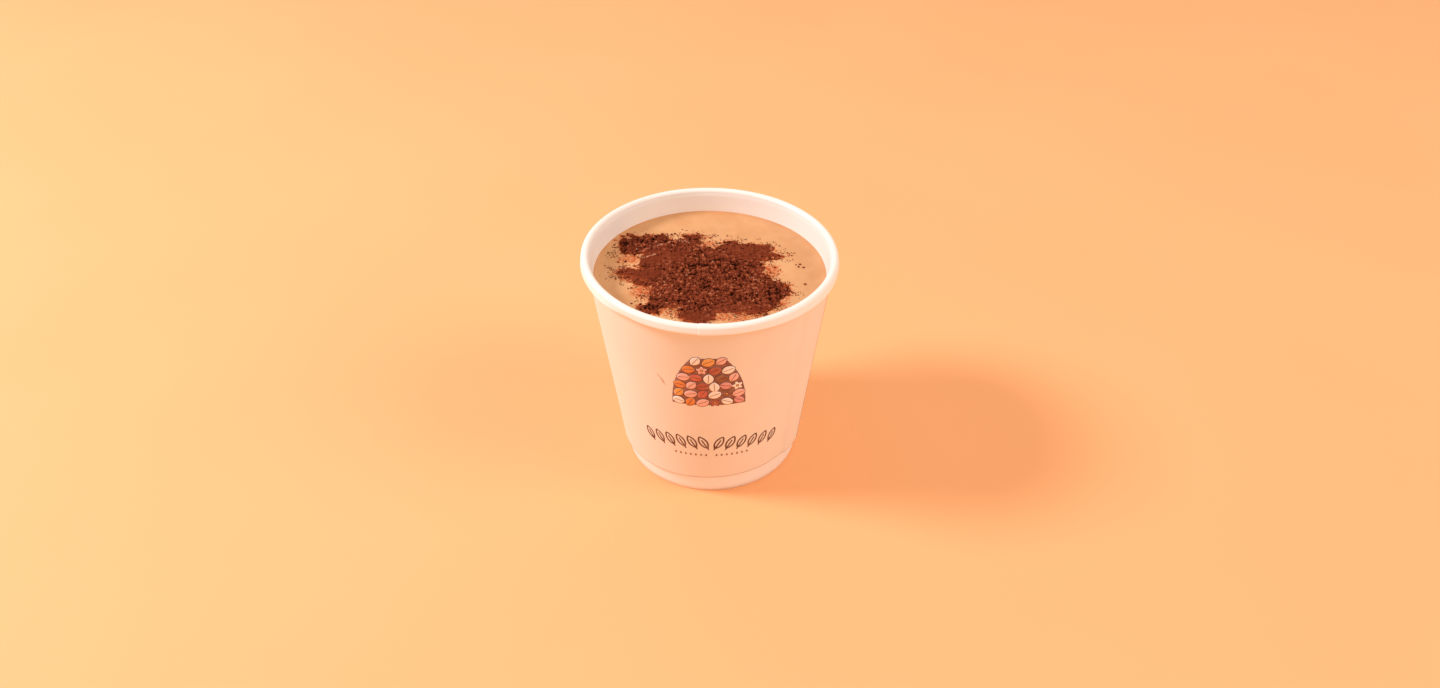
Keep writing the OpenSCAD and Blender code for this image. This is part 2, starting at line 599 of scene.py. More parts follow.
class GroupBook:
    """Builds each shared shader group once and hands it out."""

    makers: ClassVar[dict[str, Callable]] = {"paper_grain": paper_grain, "mottle": mottle}

    @classmethod
    def place(cls, nodes: Nodes, name: str, **inputs: Input) -> bpy.types.Node:
        """Places a shared group in a material.

        Args:
            nodes: The material's nodes.
            name: The group's name.
            inputs: The group's inputs by name, with _ for a space.

        Returns:
            The group's node.
        """
        tree = bpy.data.node_groups.get(name) or cls.makers[name]()
        node = nodes.tree.nodes.new("ShaderNodeGroup")
        node.node_tree = tree
        for label, value in inputs.items():
            nodes.feed(node, label.replace("_", " "), value)
        return node


@dataclass(frozen=True)
class Finish:
    """A finish: its name, its plain shader numbers, and the nodes that vary them."""

    built: ClassVar[dict[str, bpy.types.Material]] = {}

    name: str
    roughness: float
    coat: float = 0.0
    coat_roughness: float = 0.2
    specular: float = 0.5
    sheen: float = 0.0
    subsurface: float = 0.0
    bump_mm: float = 0.0

    def dress(self, nodes: Nodes, shader: bpy.types.Node) -> bpy.types.NodeSocket | None:
        """Joins what varies over the surface to the shader.

        Args:
            nodes: The material's nodes.
            shader: The Principled shader.

        Returns:
            The height for the bump, or None.
        """
        raise NotImplementedError

    def material(self) -> bpy.types.Material:
        """Makes the material, once, and gives it."""
        if self.name in self.built:
            return self.built[self.name]
        made = self.built[self.name] = bpy.data.materials.new(self.name)
        made.use_nodes = True
        made.node_tree.nodes.clear()
        nodes = Nodes(made.node_tree)
        shader = nodes.add(
            "ShaderNodeBsdfPrincipled",
            Roughness=self.roughness,
            Coat_Weight=self.coat,
            Coat_Roughness=self.coat_roughness,
            Specular_IOR_Level=self.specular,
            Sheen_Weight=self.sheen,
            Subsurface_Weight=self.subsurface,
            Subsurface_Radius=(0.002, 0.0009, 0.0005),
        )
        height = self.dress(nodes, shader)
        if height is not None:
            bump = nodes.add("ShaderNodeBump", Strength=1.0, Distance=self.bump_mm * MM, Height=height)
            nodes.feed(shader, "Normal", bump.outputs["Normal"])
        nodes.add("ShaderNodeOutputMaterial", Surface=shader.outputs["BSDF"])
        return made

    def put_on(self, piece: bpy.types.Object) -> None:
        """Gives a piece this finish and no other."""
        if piece.data.materials:
            for slot in piece.material_slots:
                slot.material = self.material()
        else:
            piece.data.materials.append(self.material())


@dataclass(frozen=True)
class PaperFinish(Finish):
    """Coated board: a plain colour with faint clouds, fibres under the coating, and a painted shadow line
    along its cut edges.
    """

    light: tuple[float, float, float] = (0.8, 0.8, 0.8)
    shade: tuple[float, float, float] = (0.7, 0.7, 0.7)
    # raw: painted shadow, the dark line of the gaps at the sleeve's cut edges
    edge_shadow: tuple[float, float, float] = srgb(150, 96, 60)
    cloud_scale: float = 85.0
    fibre_scale: float = 2600.0

    def dress(self, nodes: Nodes, shader: bpy.types.Node) -> bpy.types.NodeSocket:
        """Joins the clouds and the painted shadow line at the cut edges to the colour, the clouds to the
        roughness, and gives the fibres.
        """
        scales = {"Cloud_Scale": self.cloud_scale, "Fibre_Scale": self.fibre_scale, "Stretch": 0.4}
        grain = GroupBook.place(nodes, "paper_grain", **scales)
        tone = grain.outputs["Tone"]
        board = nodes.blend(nodes.spread(tone, 0.3, 0.7), self.light, self.shade)
        # The cut attribute paints a shadow line along the sleeve's cut edges.
        nodes.feed(shader, "Base Color", nodes.blend(nodes.attribute("cut"), board, self.edge_shadow))
        rough = nodes.spread(tone, 0.3, 0.7, self.roughness - 0.04, self.roughness + 0.05)
        nodes.feed(shader, "Roughness", rough)
        return grain.outputs["Height"]


@dataclass(frozen=True)
class InkFinish(Finish):
    """Printing ink, each mark in its own colour, with the paper showing through a little."""

    paper: tuple[float, float, float] = srgb(250, 214, 190)
    worn: float = 0.14

    def dress(self, nodes: Nodes, shader: bpy.types.Node) -> bpy.types.NodeSocket:
        """Joins the marks' colours, a little uneven, to the shader."""
        grain = GroupBook.place(nodes, "paper_grain", Cloud_Scale=900.0, Fibre_Scale=3000.0, Stretch=0.5)
        ink = nodes.attribute("ink", "Color")
        share = nodes.spread(grain.outputs["Tone"], 0.35, 0.75, 0.0, self.worn)
        nodes.feed(shader, "Base Color", nodes.blend(share, ink, self.paper))
        return grain.outputs["Height"]


@dataclass(frozen=True)
class DrinkFinish(Finish):
    """Milky drink: soft patches of foam, stained where powder has soaked in, with painted shade where it
    meets the wall.
    """

    milk: tuple[float, float, float] = srgb(209, 158, 106)
    cream: tuple[float, float, float] = srgb(216, 168, 117)
    stain: tuple[float, float, float] = srgb(188, 88, 32)
    soaked: tuple[float, float, float] = srgb(118, 56, 28)
    # edge: painted shade, the darker colour where the drink meets the wall
    edge: tuple[float, float, float] = srgb(200, 128, 80)

    def dress(self, nodes: Nodes, shader: bpy.types.Node) -> bpy.types.NodeSocket:
        """Joins foam, stains and the painted shade where the drink meets the wall to the shader, and gives
        the bubbles.
        """
        patch = GroupBook.place(nodes, "mottle", Broad_Scale=160.0, Fine_Scale=1300.0, Warp=0.003)
        broad, fine = patch.outputs["Broad"], patch.outputs["Fine"]
        colour = nodes.blend(nodes.spread(broad, 0.35, 0.65), self.milk, self.cream)
        stain, edge = nodes.attribute("stain"), nodes.attribute("edge")
        lift = nodes.math("ADD", stain, nodes.math("MULTIPLY", nodes.math("SUBTRACT", fine, 0.5), 1.5))
        reach = nodes.math("MULTIPLY", nodes.spread(lift, 0.15, 0.9), nodes.spread(stain, 0.0, 0.12))
        colour = nodes.blend(reach, colour, self.stain)
        soak = nodes.attribute("soak")
        speckle = nodes.math("ADD", soak, nodes.math("MULTIPLY", nodes.math("SUBTRACT", fine, 0.5), 1.2))
        deep = nodes.math("MULTIPLY", nodes.spread(speckle, 0.45, 0.95), nodes.spread(soak, 0.0, 0.1))
        colour = nodes.blend(deep, colour, self.soaked)
        nodes.feed(shader, "Base Color", nodes.blend(edge, colour, self.edge))
        nodes.feed(shader, "Roughness", nodes.spread(stain, 0.0, 1.0, self.roughness, self.roughness + 0.2))
        return nodes.math("ADD", nodes.math("MULTIPLY", fine, 0.6), broad)


@dataclass(frozen=True)
class CocoaFinish(Finish):
    """Cocoa powder: painted shade in its pits and cracks and painted light on its lumps, evener where it is
    wet, with streaks of milk.
    """

    # pit and crest: painted shade in the pits and cracks, painted light on the lumps
    pit: tuple[float, float, float] = srgb(34, 12, 6)
    middle: tuple[float, float, float] = srgb(121, 57, 35)
    crest: tuple[float, float, float] = srgb(196, 118, 80)
    wet: tuple[float, float, float] = srgb(104, 45, 26)
    thin: tuple[float, float, float] = srgb(158, 76, 40)
    milk: tuple[float, float, float] = srgb(214, 158, 126)
    jitter: float = 1.1
    wet_share: float = 0.5

    def dress(self, nodes: Nodes, shader: bpy.types.Node) -> bpy.types.NodeSocket:
        """Joins the relief's painted shade and light, wetness and thin edges to the shader, and gives the
        fine grain.
        """
        patch = GroupBook.place(nodes, "mottle", Broad_Scale=420.0, Fine_Scale=3200.0, Warp=0.001)
        fine = patch.outputs["Fine"]
        relief = nodes.attribute("relief")
        jitter = nodes.math("MULTIPLY", nodes.math("SUBTRACT", fine, 0.5), self.jitter)
        level = nodes.math("ADD", relief, jitter)
        # The relief attribute paints shade in the low places and light on the lumps.
        colour = nodes.blend(nodes.spread(level, 0.05, 0.5), self.pit, self.middle)
        colour = nodes.blend(nodes.spread(level, 0.6, 1.05), colour, self.crest)
        wet = nodes.attribute("wet")
        colour = nodes.blend(nodes.math("MULTIPLY", wet, self.wet_share), colour, self.wet)
        thin = nodes.attribute("thin")
        show = nodes.spread(nodes.math("ADD", thin, jitter), 0.45, 1.0)
        colour = nodes.blend(show, colour, self.thin)
        nodes.feed(shader, "Base Color", nodes.blend(nodes.attribute("film"), colour, self.milk))
        nodes.feed(shader, "Roughness", nodes.spread(wet, 0.0, 1.0, self.roughness, self.roughness - 0.25))
        return fine


@dataclass(frozen=True)
class GrainFinish(Finish):
    """Loose grains of cocoa, each of its own tone; the palest carry painted glints."""

    dark: tuple[float, float, float] = srgb(40, 14, 8)
    middle: tuple[float, float, float] = srgb(136, 66, 41)
    # light: painted glints on the palest grains
    light: tuple[float, float, float] = srgb(206, 150, 120)

    def dress(self, nodes: Nodes, shader: bpy.types.Node) -> bpy.types.NodeSocket:
        """Joins each grain's tone to the shader."""
        patch = GroupBook.place(nodes, "mottle", Broad_Scale=900.0, Fine_Scale=5000.0, Warp=0.0005)
        tone = nodes.attribute("tone")
        colour = nodes.blend(nodes.spread(tone, 0.1, 0.6), self.dark, self.middle)
        # The palest grains take the painted glint colour.
        nodes.feed(shader, "Base Color", nodes.blend(nodes.spread(tone, 0.9, 1.0), colour, self.light))
        return patch.outputs["Fine"]


@dataclass(frozen=True)
class FloorFinish(Finish):
    """Plain pale card that the cup stands on."""

    colour: tuple[float, float, float] = srgb(253, 188, 130)
    other: tuple[float, float, float] = srgb(252, 185, 127)

    def dress(self, nodes: Nodes, shader: bpy.types.Node) -> bpy.types.NodeSocket:
        """Joins very faint patches to the shader."""
        patch = GroupBook.place(nodes, "mottle", Broad_Scale=9.0, Fine_Scale=900.0, Warp=0.01)
        share = nodes.spread(patch.outputs["Broad"], 0.3, 0.7)
        nodes.feed(shader, "Base Color", nodes.blend(share, self.colour, self.other))
        return patch.outputs["Fine"]


WHITE_PAPER = PaperFinish(
    "white_board",
    roughness=0.5,
    coat=0.15,
    coat_roughness=0.35,
    bump_mm=0.012,
    light=srgb(248, 245, 238),
    shade=srgb(246, 242, 234),
)
BLUSH_PAPER = PaperFinish(
    "blush_board",
    roughness=0.62,
    bump_mm=0.012,
    light=srgb(240, 227, 210),
    shade=srgb(238, 224, 206),
)
PRINT_INK = InkFinish("printed_ink", roughness=0.55, bump_mm=0.006)
MILKY_DRINK = DrinkFinish("milk_foam", roughness=0.42, specular=0.3, subsurface=0.15, bump_mm=0.03)
COCOA = CocoaFinish("cocoa_relief", roughness=0.95, specular=0.0, bump_mm=0.08)
COCOA_GRAINS = GrainFinish("cocoa_grain", roughness=0.95, specular=0.0, bump_mm=0.03)
FLOOR_CARD = FloorFinish("floor_card", roughness=0.75, specular=0.25, bump_mm=0.01)


# ---------------------------------------------------------------- inner wall, rim and foot


@dataclass
class PaperCup:
    """White inner wall with its rolled rim, and its edge folded up inside the foot.

    The roll has a joint near the front, and the inner wall a seam a little further round. Waves are
    given as size, count and start in radians, and dents as size, turn and half width.
    """

    sizes: CupSizes
    lean: Lean
    crest: float = 0.95
    face_lean: float = 0.2
    corner: float = 0.5
    front_sag: float = 0.5
    sag_turn: float = -8.0
    sag_half: float = 42.0
    joint_turn: float = -4.5
    joint_step: float = 0.08
    joint_reach: float = 9.0
    seam_step: float = 0.2
    seam_turn: float = 11.0
    foot_round: float = 0.35
    edge_round: float = 0.1
    waves: tuple[tuple[float, int, float], ...] = ((0.035, 3, 0.8), (0.03, 7, 2.0), (0.02, 13, 0.5))
    dents: tuple[tuple[float, float, float], ...] = ((-0.16, -38.0, 7.0), (0.08, -52.0, 6.0))
    turn_count: int = 288
    finish: Finish = WHITE_PAPER

    def roll(self) -> np.ndarray:
        """Gives the roll's section: a flattened tube with a tight lower corner.

        Returns:
            Radius and height of each point, from under the roll over its top to its inside.
        """
        s = self.sizes
        low = s.height - s.roll_h
        tuck = low + self.edge_round
        under = np.array([[s.wall_out(tuck), tuck]])
        lower = arc((s.rim_r - self.corner, low + self.corner), self.corner, -90, 0, 8)
        outer, inner = s.rim_r - self.face_lean, s.wall_in(s.height)
        middle = ((outer + inner) / 2, s.height - self.crest)
        upper = arc(middle, ((outer - inner) / 2, self.crest), 0, 180, 26)
        face = lower[-1] + (upper[0] - lower[-1]) * np.linspace(0, 1, 7)[1:-1, None]
        return np.concatenate([under, lower, face, upper])

    def section(self) -> tuple[np.ndarray, np.ndarray]:
        """Gives the closed upright section of the wall, the roll and the fold.

        Returns:
            Radius and height of each point, and a mark that is 1 on the roll's outer face and
            top, 2 on the inner wall and 0 elsewhere.
        """
        s = self.sizes
        z = np.concatenate([np.linspace(self.foot_round, s.sleeve_low + 2, 8), np.linspace(12, 52, 11)])
        outer = np.stack([s.wall_out(z), z], -1)
        z = np.linspace(s.height - self.crest - 0.3, s.drink_z - 1.5, 12)
        z = np.concatenate([z, np.linspace(48, 1, 9)])
        inner = np.stack([s.wall_in(z), z], -1)
        edge = self.edge_round
        fold_out, rise = s.fold_r + s.wall_t, s.wall_slope * s.fold_h
        up = np.array([
            [s.wall_in(s.wall_t) - edge, s.wall_t],
            [fold_out + edge, s.wall_t],
            [fold_out + s.wall_slope, 1.0],
            [fold_out + rise, s.fold_h - edge],
            [fold_out + rise - edge, s.fold_h],
            [s.fold_r + rise + edge, s.fold_h],
            [s.fold_r + rise, s.fold_h - edge],
            [s.fold_r + s.wall_slope, 1.0],
        ])
        foot = self.foot_round
        round_in = arc((s.fold_r + foot, foot), foot, 180, 270, 6)
        round_out = arc((s.foot_r - foot, foot), foot, 270, 355, 6)
        parts = [round_out, outer, self.roll(), inner, up, round_in]
        marks = [0, 0, 1, 2, 0, 0]
        points = np.concatenate(parts)
        return points, np.concatenate([np.full(len(part), mark) for part, mark in zip(parts, marks)])

    def relief(self, turn: np.ndarray, z: np.ndarray, mark: np.ndarray) -> np.ndarray:
        """Gives how far the paper stands out from its plain section.

        Args:
            turn: Turn of each point.
            z: Height of each point.
            mark: The section's marks.

        Returns:
            The distance outwards from the paper's surface.
        """
        from_joint = turn - self.joint_turn
        step = ease(-0.15, 0.15, from_joint) * (1 - ease(1.0, self.joint_reach, from_joint))
        groove = np.exp(-((from_joint + 0.35) / 0.3) ** 2)
        joint = self.joint_step * step - 0.5 * self.joint_step * groove
        t = np.radians(turn)
        low = 1 - ease(self.sizes.height - 2.4, self.sizes.height - 1.2, z)
        uneven = sum(size * np.sin(count * t + start) for size, count, start in self.waves)
        dent = sum(size * np.exp(-(((turn - at) / half) ** 2)) for size, at, half in self.dents)
        roll = joint + uneven * (0.4 + 0.6 * low) + dent * low
        seam_at = turn - self.joint_turn - self.seam_turn
        seam = self.seam_step * (1 - ease(-0.2, 0.2, seam_at)) * ease(-self.seam_turn, -2, seam_at)
        return np.where(mark == 1, roll, np.where(mark == 2, seam * (1 - ease(50, 57, z)), 0.0))

    def build(self) -> bpy.types.Object:
        """Turns the section round the cup's axis.

        Returns:
            The finished piece.
        """
        section, marks = self.section()
        along = np.roll(section, -1, 0) - np.roll(section, 1, 0)
        along /= np.linalg.norm(along, axis=1, keepdims=True)
        out = np.stack([along[:, 1], -along[:, 0]], -1)
        turns = turns_with_detail(self.turn_count, [self.joint_turn, self.joint_turn + self.seam_turn])
        turn, radius = turns[:, None], section[None, :, 0]
        stand = self.relief(turn, section[None, :, 1], marks[None, :])
        top = ease(self.sizes.height - 2.0, self.sizes.height - 0.2, section[None, :, 1])
        sag = self.front_sag * np.exp(-(((turn - self.sag_turn) / self.sag_half) ** 2)) * top
        z = section[None, :, 1] + stand * out[None, :, 1] - sag
        places = around(turn, radius + stand * out[None, :, 0], z)
        draft = Draft()
        draft.sheet(draft.points(self.lean.raised(places)), wrap_rows=True, wrap_columns=True)
        piece = draft.piece("inner_cup", sharp=50)
        self.finish.put_on(piece)
        settle(piece, "white_paper", "cup_body")
        return piece


# ---------------------------------------------------------------- sleeve


@dataclass
class Sleeve:
    """Blush outer wall: one sheet wound round the cup, whose end lies on top of its start.

    The end stands off by the lift, the paper past it dips, and a painted shadow line runs along its cut end
    and its lower edge.
    """

    sizes: CupSizes
    lean: Lean
    flap_end: float = 69.0
    flap_slant: float = 0.1
    overlap: float = 17.0
    lift: float = 0.42
    dip: float = 0.22
    wave: float = 0.05
    # How dark the painted shadow line along the lower edge is.
    foot_shadow: float = 0.5
    columns: int = 300
    rows: int = 44
    finish: Finish = BLUSH_PAPER

    def radius(self, turn: np.ndarray | float, z: np.ndarray | float) -> np.ndarray:
        """Gives the sleeve's outside radius, with the paper's slight waves.

        Args:
            turn: Turn round the cup.
            z: Height.

        Returns:
            The radius, without the flap's lift.
        """
        s = self.sizes
        t = np.radians(turn)
        swell = 1 + 0.6 * np.sin(2 * t + 0.07 * z) + 0.4 * np.sin(5 * t - 0.11 * z + 1)
        calm = 1 - ease(s.sleeve_top - 6, s.sleeve_top, z)
        return s.sleeve_foot_r + s.sleeve_slope * (z - s.sleeve_low) + self.wave * swell * calm

    def build(self) -> bpy.types.Object:
        """Winds the sheet round the cup.

        Returns:
            The finished piece.
        """
        s = self.sizes
        start, stop = self.flap_end - self.overlap, self.flap_end + 360
        over = start + 360
        steps = np.array([0.05, 0.15, 0.35, 0.7])
        fine = np.concatenate([start + steps, stop - steps, over + np.linspace(-6, 1.5, 16)])
        wound = np.unique(np.concatenate([np.linspace(start, stop, self.columns), fine]))[:, None]
        share = np.concatenate([[0.0, 0.003, 0.008], np.linspace(0.02, 1, self.rows)])[None, :]
        slant = self.flap_slant * (s.sleeve_low + share * (s.sleeve_top - s.sleeve_low) - 30)
        near_end = ease(stop - 8, stop, wound)
        turn = wound + slant * near_end
        edge = s.sleeve_low + s.sleeve_rise * np.sin(np.radians(turn))
        z = edge + share * (s.sleeve_top - edge)
        lift = self.lift * ease(over - 5, over + 0.5, wound)
        dip = self.dip * (1 - ease(self.flap_end + 3, self.flap_end + 35, wound))
        outer_r = self.radius(turn, z) + lift - dip * (1 - ease(s.sleeve_top - 10, s.sleeve_top, z))
        inner_r = np.maximum(outer_r - s.sleeve_t, s.wall_out(z) + 0.02)
        # Painted shadow: a dark line along the flap's cut end and, fainter, along the lower edge.
        end_shadow = ease(stop - 1.1, stop - 0.5, wound)
        cut = np.maximum(end_shadow, self.foot_shadow * (1 - ease(0.001, 0.008, share)))
        draft = Draft("cut")
        outer = draft.points(self.lean.raised(around(turn, outer_r, z)), cut=cut)
        inner = draft.points(self.lean.raised(around(turn, inner_r, z)), cut=cut)
        draft.sheet(np.concatenate([outer, inner[:, ::-1]], 1), wrap_columns=True)
        for end, flip in ((0, True), (-1, False)):
            pair = np.stack([outer[end], inner[end]])
            draft.sheet(pair[::-1] if flip else pair)
        piece = draft.piece("blush_sleeve", sharp=40)
        self.finish.put_on(piece)
        settle(piece, "blush_paper", "cup_sleeve")
        return piece


# ---------------------------------------------------------------- print on the sleeve


class Shape(Enum):
    """Outlines that the print is made of."""

    LEAF = "leaf"
    POD = "pod"
    DISC = "disc"
    BLOSSOM = "blossom"
    LOZENGE = "lozenge"

    def outline(self, angle: np.ndarray) -> np.ndarray:
        """Gives the outline, one unit to each side.

        Args:
            angle: Angles round the outline, in radians.

        Returns:
            Its points, x along the shape and y across it.
        """
        c, s = np.cos(angle), np.sin(angle)
        if self is Shape.LEAF:
            return np.stack([c, s * np.abs(s) ** 0.7], -1)
        if self is Shape.POD:
            return np.stack([c, s * np.abs(s) ** 0.25], -1)
        if self is Shape.BLOSSOM:
            reach = 0.78 + 0.22 * np.cos(5 * angle)
            return np.stack([c * reach, s * reach], -1)
        if self is Shape.LOZENGE:
            return np.stack([c * np.abs(c), s * np.abs(s)], -1)
        return np.stack([c, s], -1)

    @property
    def ribbed(self) -> bool:
        """Tells whether the shape is drawn with a rib along its middle."""
        return self in (Shape.POD, Shape.LEAF)


class Ink(Enum):
    """The print's inks."""

    LINE = srgb(98, 48, 30)
    SMALL = srgb(150, 88, 62)
    DARK = srgb(84, 44, 36)
    BACK = srgb(136, 78, 60)
    ORANGE = srgb(228, 134, 52)
    AMBER = srgb(236, 164, 82)
    TERRACOTTA = srgb(204, 92, 68)
    BRICK = srgb(176, 84, 58)
    BROWN = srgb(146, 84, 52)
    PINK = srgb(244, 186, 172)
    ROSE = srgb(226, 152, 146)
    CREAM = srgb(254, 240, 228)
    # Painted shade of a small crease in the sleeve.
    CREASE_SHADE = srgb(206, 168, 138)
    FLECK = srgb(254, 236, 224)


@dataclass(frozen=True)
class Mark:
    """One filled shape of the print: its place, half sizes, tilt and ink."""

    shape: Shape
    along: float
    up: float
    half_long: float
    half_wide: float
    tilt: float
    ink: Ink


@dataclass
class SleevePrint:
    """Plain print: a heap of cocoa pods, leaves and blossoms, with a row of leaves below it.

    Places are in millimetres along the sleeve from its front middle, and up from the floor. Each
    layer of ink is one film thicker than the one under it, and all of them reach into the sleeve.
    """

    sleeve: Sleeve
    lean: Lean
    film: float = 0.018
    sunk: float = 0.04
    outline: float = 0.15
    corners: int = 32
    rib_width: float = 0.13
    heap_half: tuple[float, float] = (8.6, 7.9)
    heap_rows: int = 6
    heap_pitch: float = 2.8
    heap_turn: float = 70.0
    leaf_turn: float = 60.0
    mark_half: tuple[float, float] = (1.5, 1.12)
    blossom_half: tuple[float, float] = (1.25, 1.25)
    blossom_eye: float = 0.24
    heap_shapes: tuple[Shape, ...] = (
        Shape.POD, Shape.LEAF, Shape.POD, Shape.BLOSSOM, Shape.POD, Shape.POD, Shape.LEAF
    )
    heap_inks: tuple[Ink, ...] = (
        Ink.CREAM, Ink.ORANGE, Ink.PINK, Ink.BRICK, Ink.CREAM, Ink.ROSE, Ink.CREAM, Ink.AMBER,
        Ink.PINK, Ink.TERRACOTTA, Ink.CREAM, Ink.BROWN, Ink.PINK,
    )
    leaf_count: int = 12
    leaf_gap: float = 0.5
    line_width: float = 0.4
    # Where the painted shade of the small crease lies.
    crease_shade: tuple[float, float] = (-12.75, 40.4)
    fleck: tuple[float, float] = (27.6, 23.7)
    draft: Draft = field(default_factory=Draft)

    def wrap(self, along: np.ndarray, up: np.ndarray, height: float) -> np.ndarray:
        """Lays flat places on the sleeve.

        Args:
            along: Distance along the sleeve from its front middle.
            up: Height above the floor.
            height: Distance off the sleeve.

        Returns:
            The points.
        """
        base = self.sleeve.radius(0.0, up)
        turn = np.degrees(along / base)
        return self.lean.raised(around(turn, self.sleeve.radius(turn, up) + height, up))

    def fill(
        self, flat: np.ndarray, middle: tuple[float, float], layer: float, ink: Ink, rings: int = 3
    ) -> None:
        """Lays one closed patch of ink.

        Args:
            flat: The patch's outline, as places along and up.
            middle: A place inside it that sees the whole outline.
            layer: Which layer of ink it is, from 1 up.
            ink: Its colour.
            rings: How many rings of points it has, so that a wide patch follows the sleeve.
        """
        share = np.linspace(1, 0, rings + 1)[:-1, None, None]
        centre = np.array(middle)
        net = centre + (flat[None] - centre) * share
        height = self.film * layer
        sides = []
        for depth in (height, -self.sunk):
            ids = self.draft.points(self.wrap(net[..., 0], net[..., 1], depth), colour=ink.value)
            tip = self.draft.points(self.wrap(centre[0], centre[1], depth)[None], colour=ink.value)
            sides.append((ids, int(tip[0])))
        (top, top_tip), (low, low_tip) = sides
        self.draft.sheet(top, wrap_columns=True)
        self.draft.fan(top_tip, top[-1])
        self.draft.sheet(low[::-1], wrap_columns=True)
        self.draft.fan(low_tip, low[-1][::-1])
        self.draft.sheet(np.stack([low[0], top[0]]), wrap_columns=True)

    def stroke(self, flat: np.ndarray, width: float, layer: float, ink: Ink, closed: bool = False) -> None:
        """Lays one line of ink.

        Args:
            flat: The line's middle, as places along and up.
            width: Its width.
            layer: Which layer of ink it is.
            ink: Its colour.
            closed: Joins its end to its start.
        """
        if closed:
            ahead, behind = np.roll(flat, -1, 0), np.roll(flat, 1, 0)
        else:
            ahead, behind = np.vstack([flat[1:], flat[-1:]]), np.vstack([flat[:1], flat[:-1]])
        way = ahead - behind
        way /= np.linalg.norm(way, axis=1, keepdims=True)
        side = np.stack([-way[:, 1], way[:, 0]], -1) * width / 2
        left, right = (flat + side).T, (flat - side).T
        high, low = self.film * layer, -self.sunk
        corners = ((left, high), (right, high), (left, low), (right, low))
        ids = [self.draft.points(self.wrap(*edge, height), colour=ink.value) for edge, height in corners]
        tube = np.stack([ids[0], ids[1], ids[3], ids[2]], 1)
        self.draft.sheet(tube, wrap_rows=closed, wrap_columns=True)
        if not closed:
            self.draft.quads(tube[0][::-1])
            self.draft.quads(tube[-1])

    def placed(self, mark: Mark, local: np.ndarray) -> np.ndarray:
        """Turns and moves a mark's own points to their places on the sleeve."""
        c, s = math.cos(math.radians(mark.tilt)), math.sin(math.radians(mark.tilt))
        x, y = local[:, 0], local[:, 1]
        return np.stack([mark.along + x * c - y * s, mark.up + x * s + y * c], -1)

    def mark(self, mark: Mark, layer: float) -> None:
        """Lays a filled shape with a dark outline and its rib.

        Args:
            mark: The shape.
            layer: Its lowest layer of ink.
        """
        angle = np.linspace(0, 2 * math.pi, self.corners, endpoint=False)
        unit = mark.shape.outline(angle)
        middle = (mark.along, mark.up)
        grown = unit * [mark.half_long + self.outline, mark.half_wide + self.outline]
        self.fill(self.placed(mark, grown), middle, layer, Ink.DARK)
        inner = unit * [mark.half_long, mark.half_wide]
        self.fill(self.placed(mark, inner), middle, layer + 1, mark.ink)
        if mark.shape.ribbed:
            reach = np.linspace(-0.82, 0.82, 12) * mark.half_long
            rib = self.placed(mark, np.stack([reach, 0 * reach], -1))
            self.stroke(rib, self.rib_width, layer + 2, Ink.DARK)

    def heap_reach(self, share: np.ndarray | float) -> np.ndarray | float:
        """Gives half the heap's width, at a share of its height."""
        return self.heap_half[0] * (1 - 0.6 * share**2.6)

    def backing(self, along: float, up: float) -> None:
        """Lays the dark ground that shows between the heap's marks.

        Args:
            along, up: The heap's middle.
        """
        rise = np.linspace(0.02, 0.98, 24)
        side = np.stack([self.heap_reach(rise) + 0.1, self.heap_half[1] * (2 * rise - 1)], -1)
        across = np.linspace(1, -1, 20)[1:-1, None]
        roof, foot = side[-1], side[0]
        outline = np.concatenate([
            side,
            np.hstack([roof[0] * across, roof[1] + 0 * across]),
            side[::-1] * [-1, 1],
            np.hstack([-foot[0] * across, foot[1] + 0 * across]),
        ])
        self.fill(outline + [along, up], (along, up), 0.7, Ink.BACK, rings=10)

    def heap(self, along: float, up: float) -> None:
        """Lays a heap of pods, leaves and blossoms: rows that are wider towards the foot.

        Args:
            along, up: The heap's middle.
        """
        self.backing(along, up)
        index = 0
        for row in range(self.heap_rows):
            share = (row + 0.5) / self.heap_rows
            level = up + self.heap_half[1] * (2 * share - 1)
            reach = float(self.heap_reach(share))
            count = round(2 * reach / self.heap_pitch)
            for step in range(count):
                chance = float(scrambled(np.array(step), np.array(row), 71))
                shape = self.heap_shapes[index % len(self.heap_shapes)]
                ink = self.heap_inks[(index + row) % len(self.heap_inks)]
                place = along - reach + 2 * reach * (step + 0.5) / count
                height = level + 0.5 * (0.5 - chance)
                size = 0.92 + 0.16 * chance
                half_long, half_wide = self.blossom_half if shape is Shape.BLOSSOM else self.mark_half
                tilt = self.heap_turn * (chance - 0.5) + (self.leaf_turn if shape is Shape.LEAF else 0)
                one = Mark(shape, place, height, half_long * size, half_wide * size, tilt, ink)
                self.mark(one, 1 + 0.015 * index)
                if shape is Shape.BLOSSOM:
                    eye = self.blossom_eye
                    self.mark(Mark(Shape.DISC, place, height, eye, eye, 0, Ink.AMBER), 3)
                index += 1

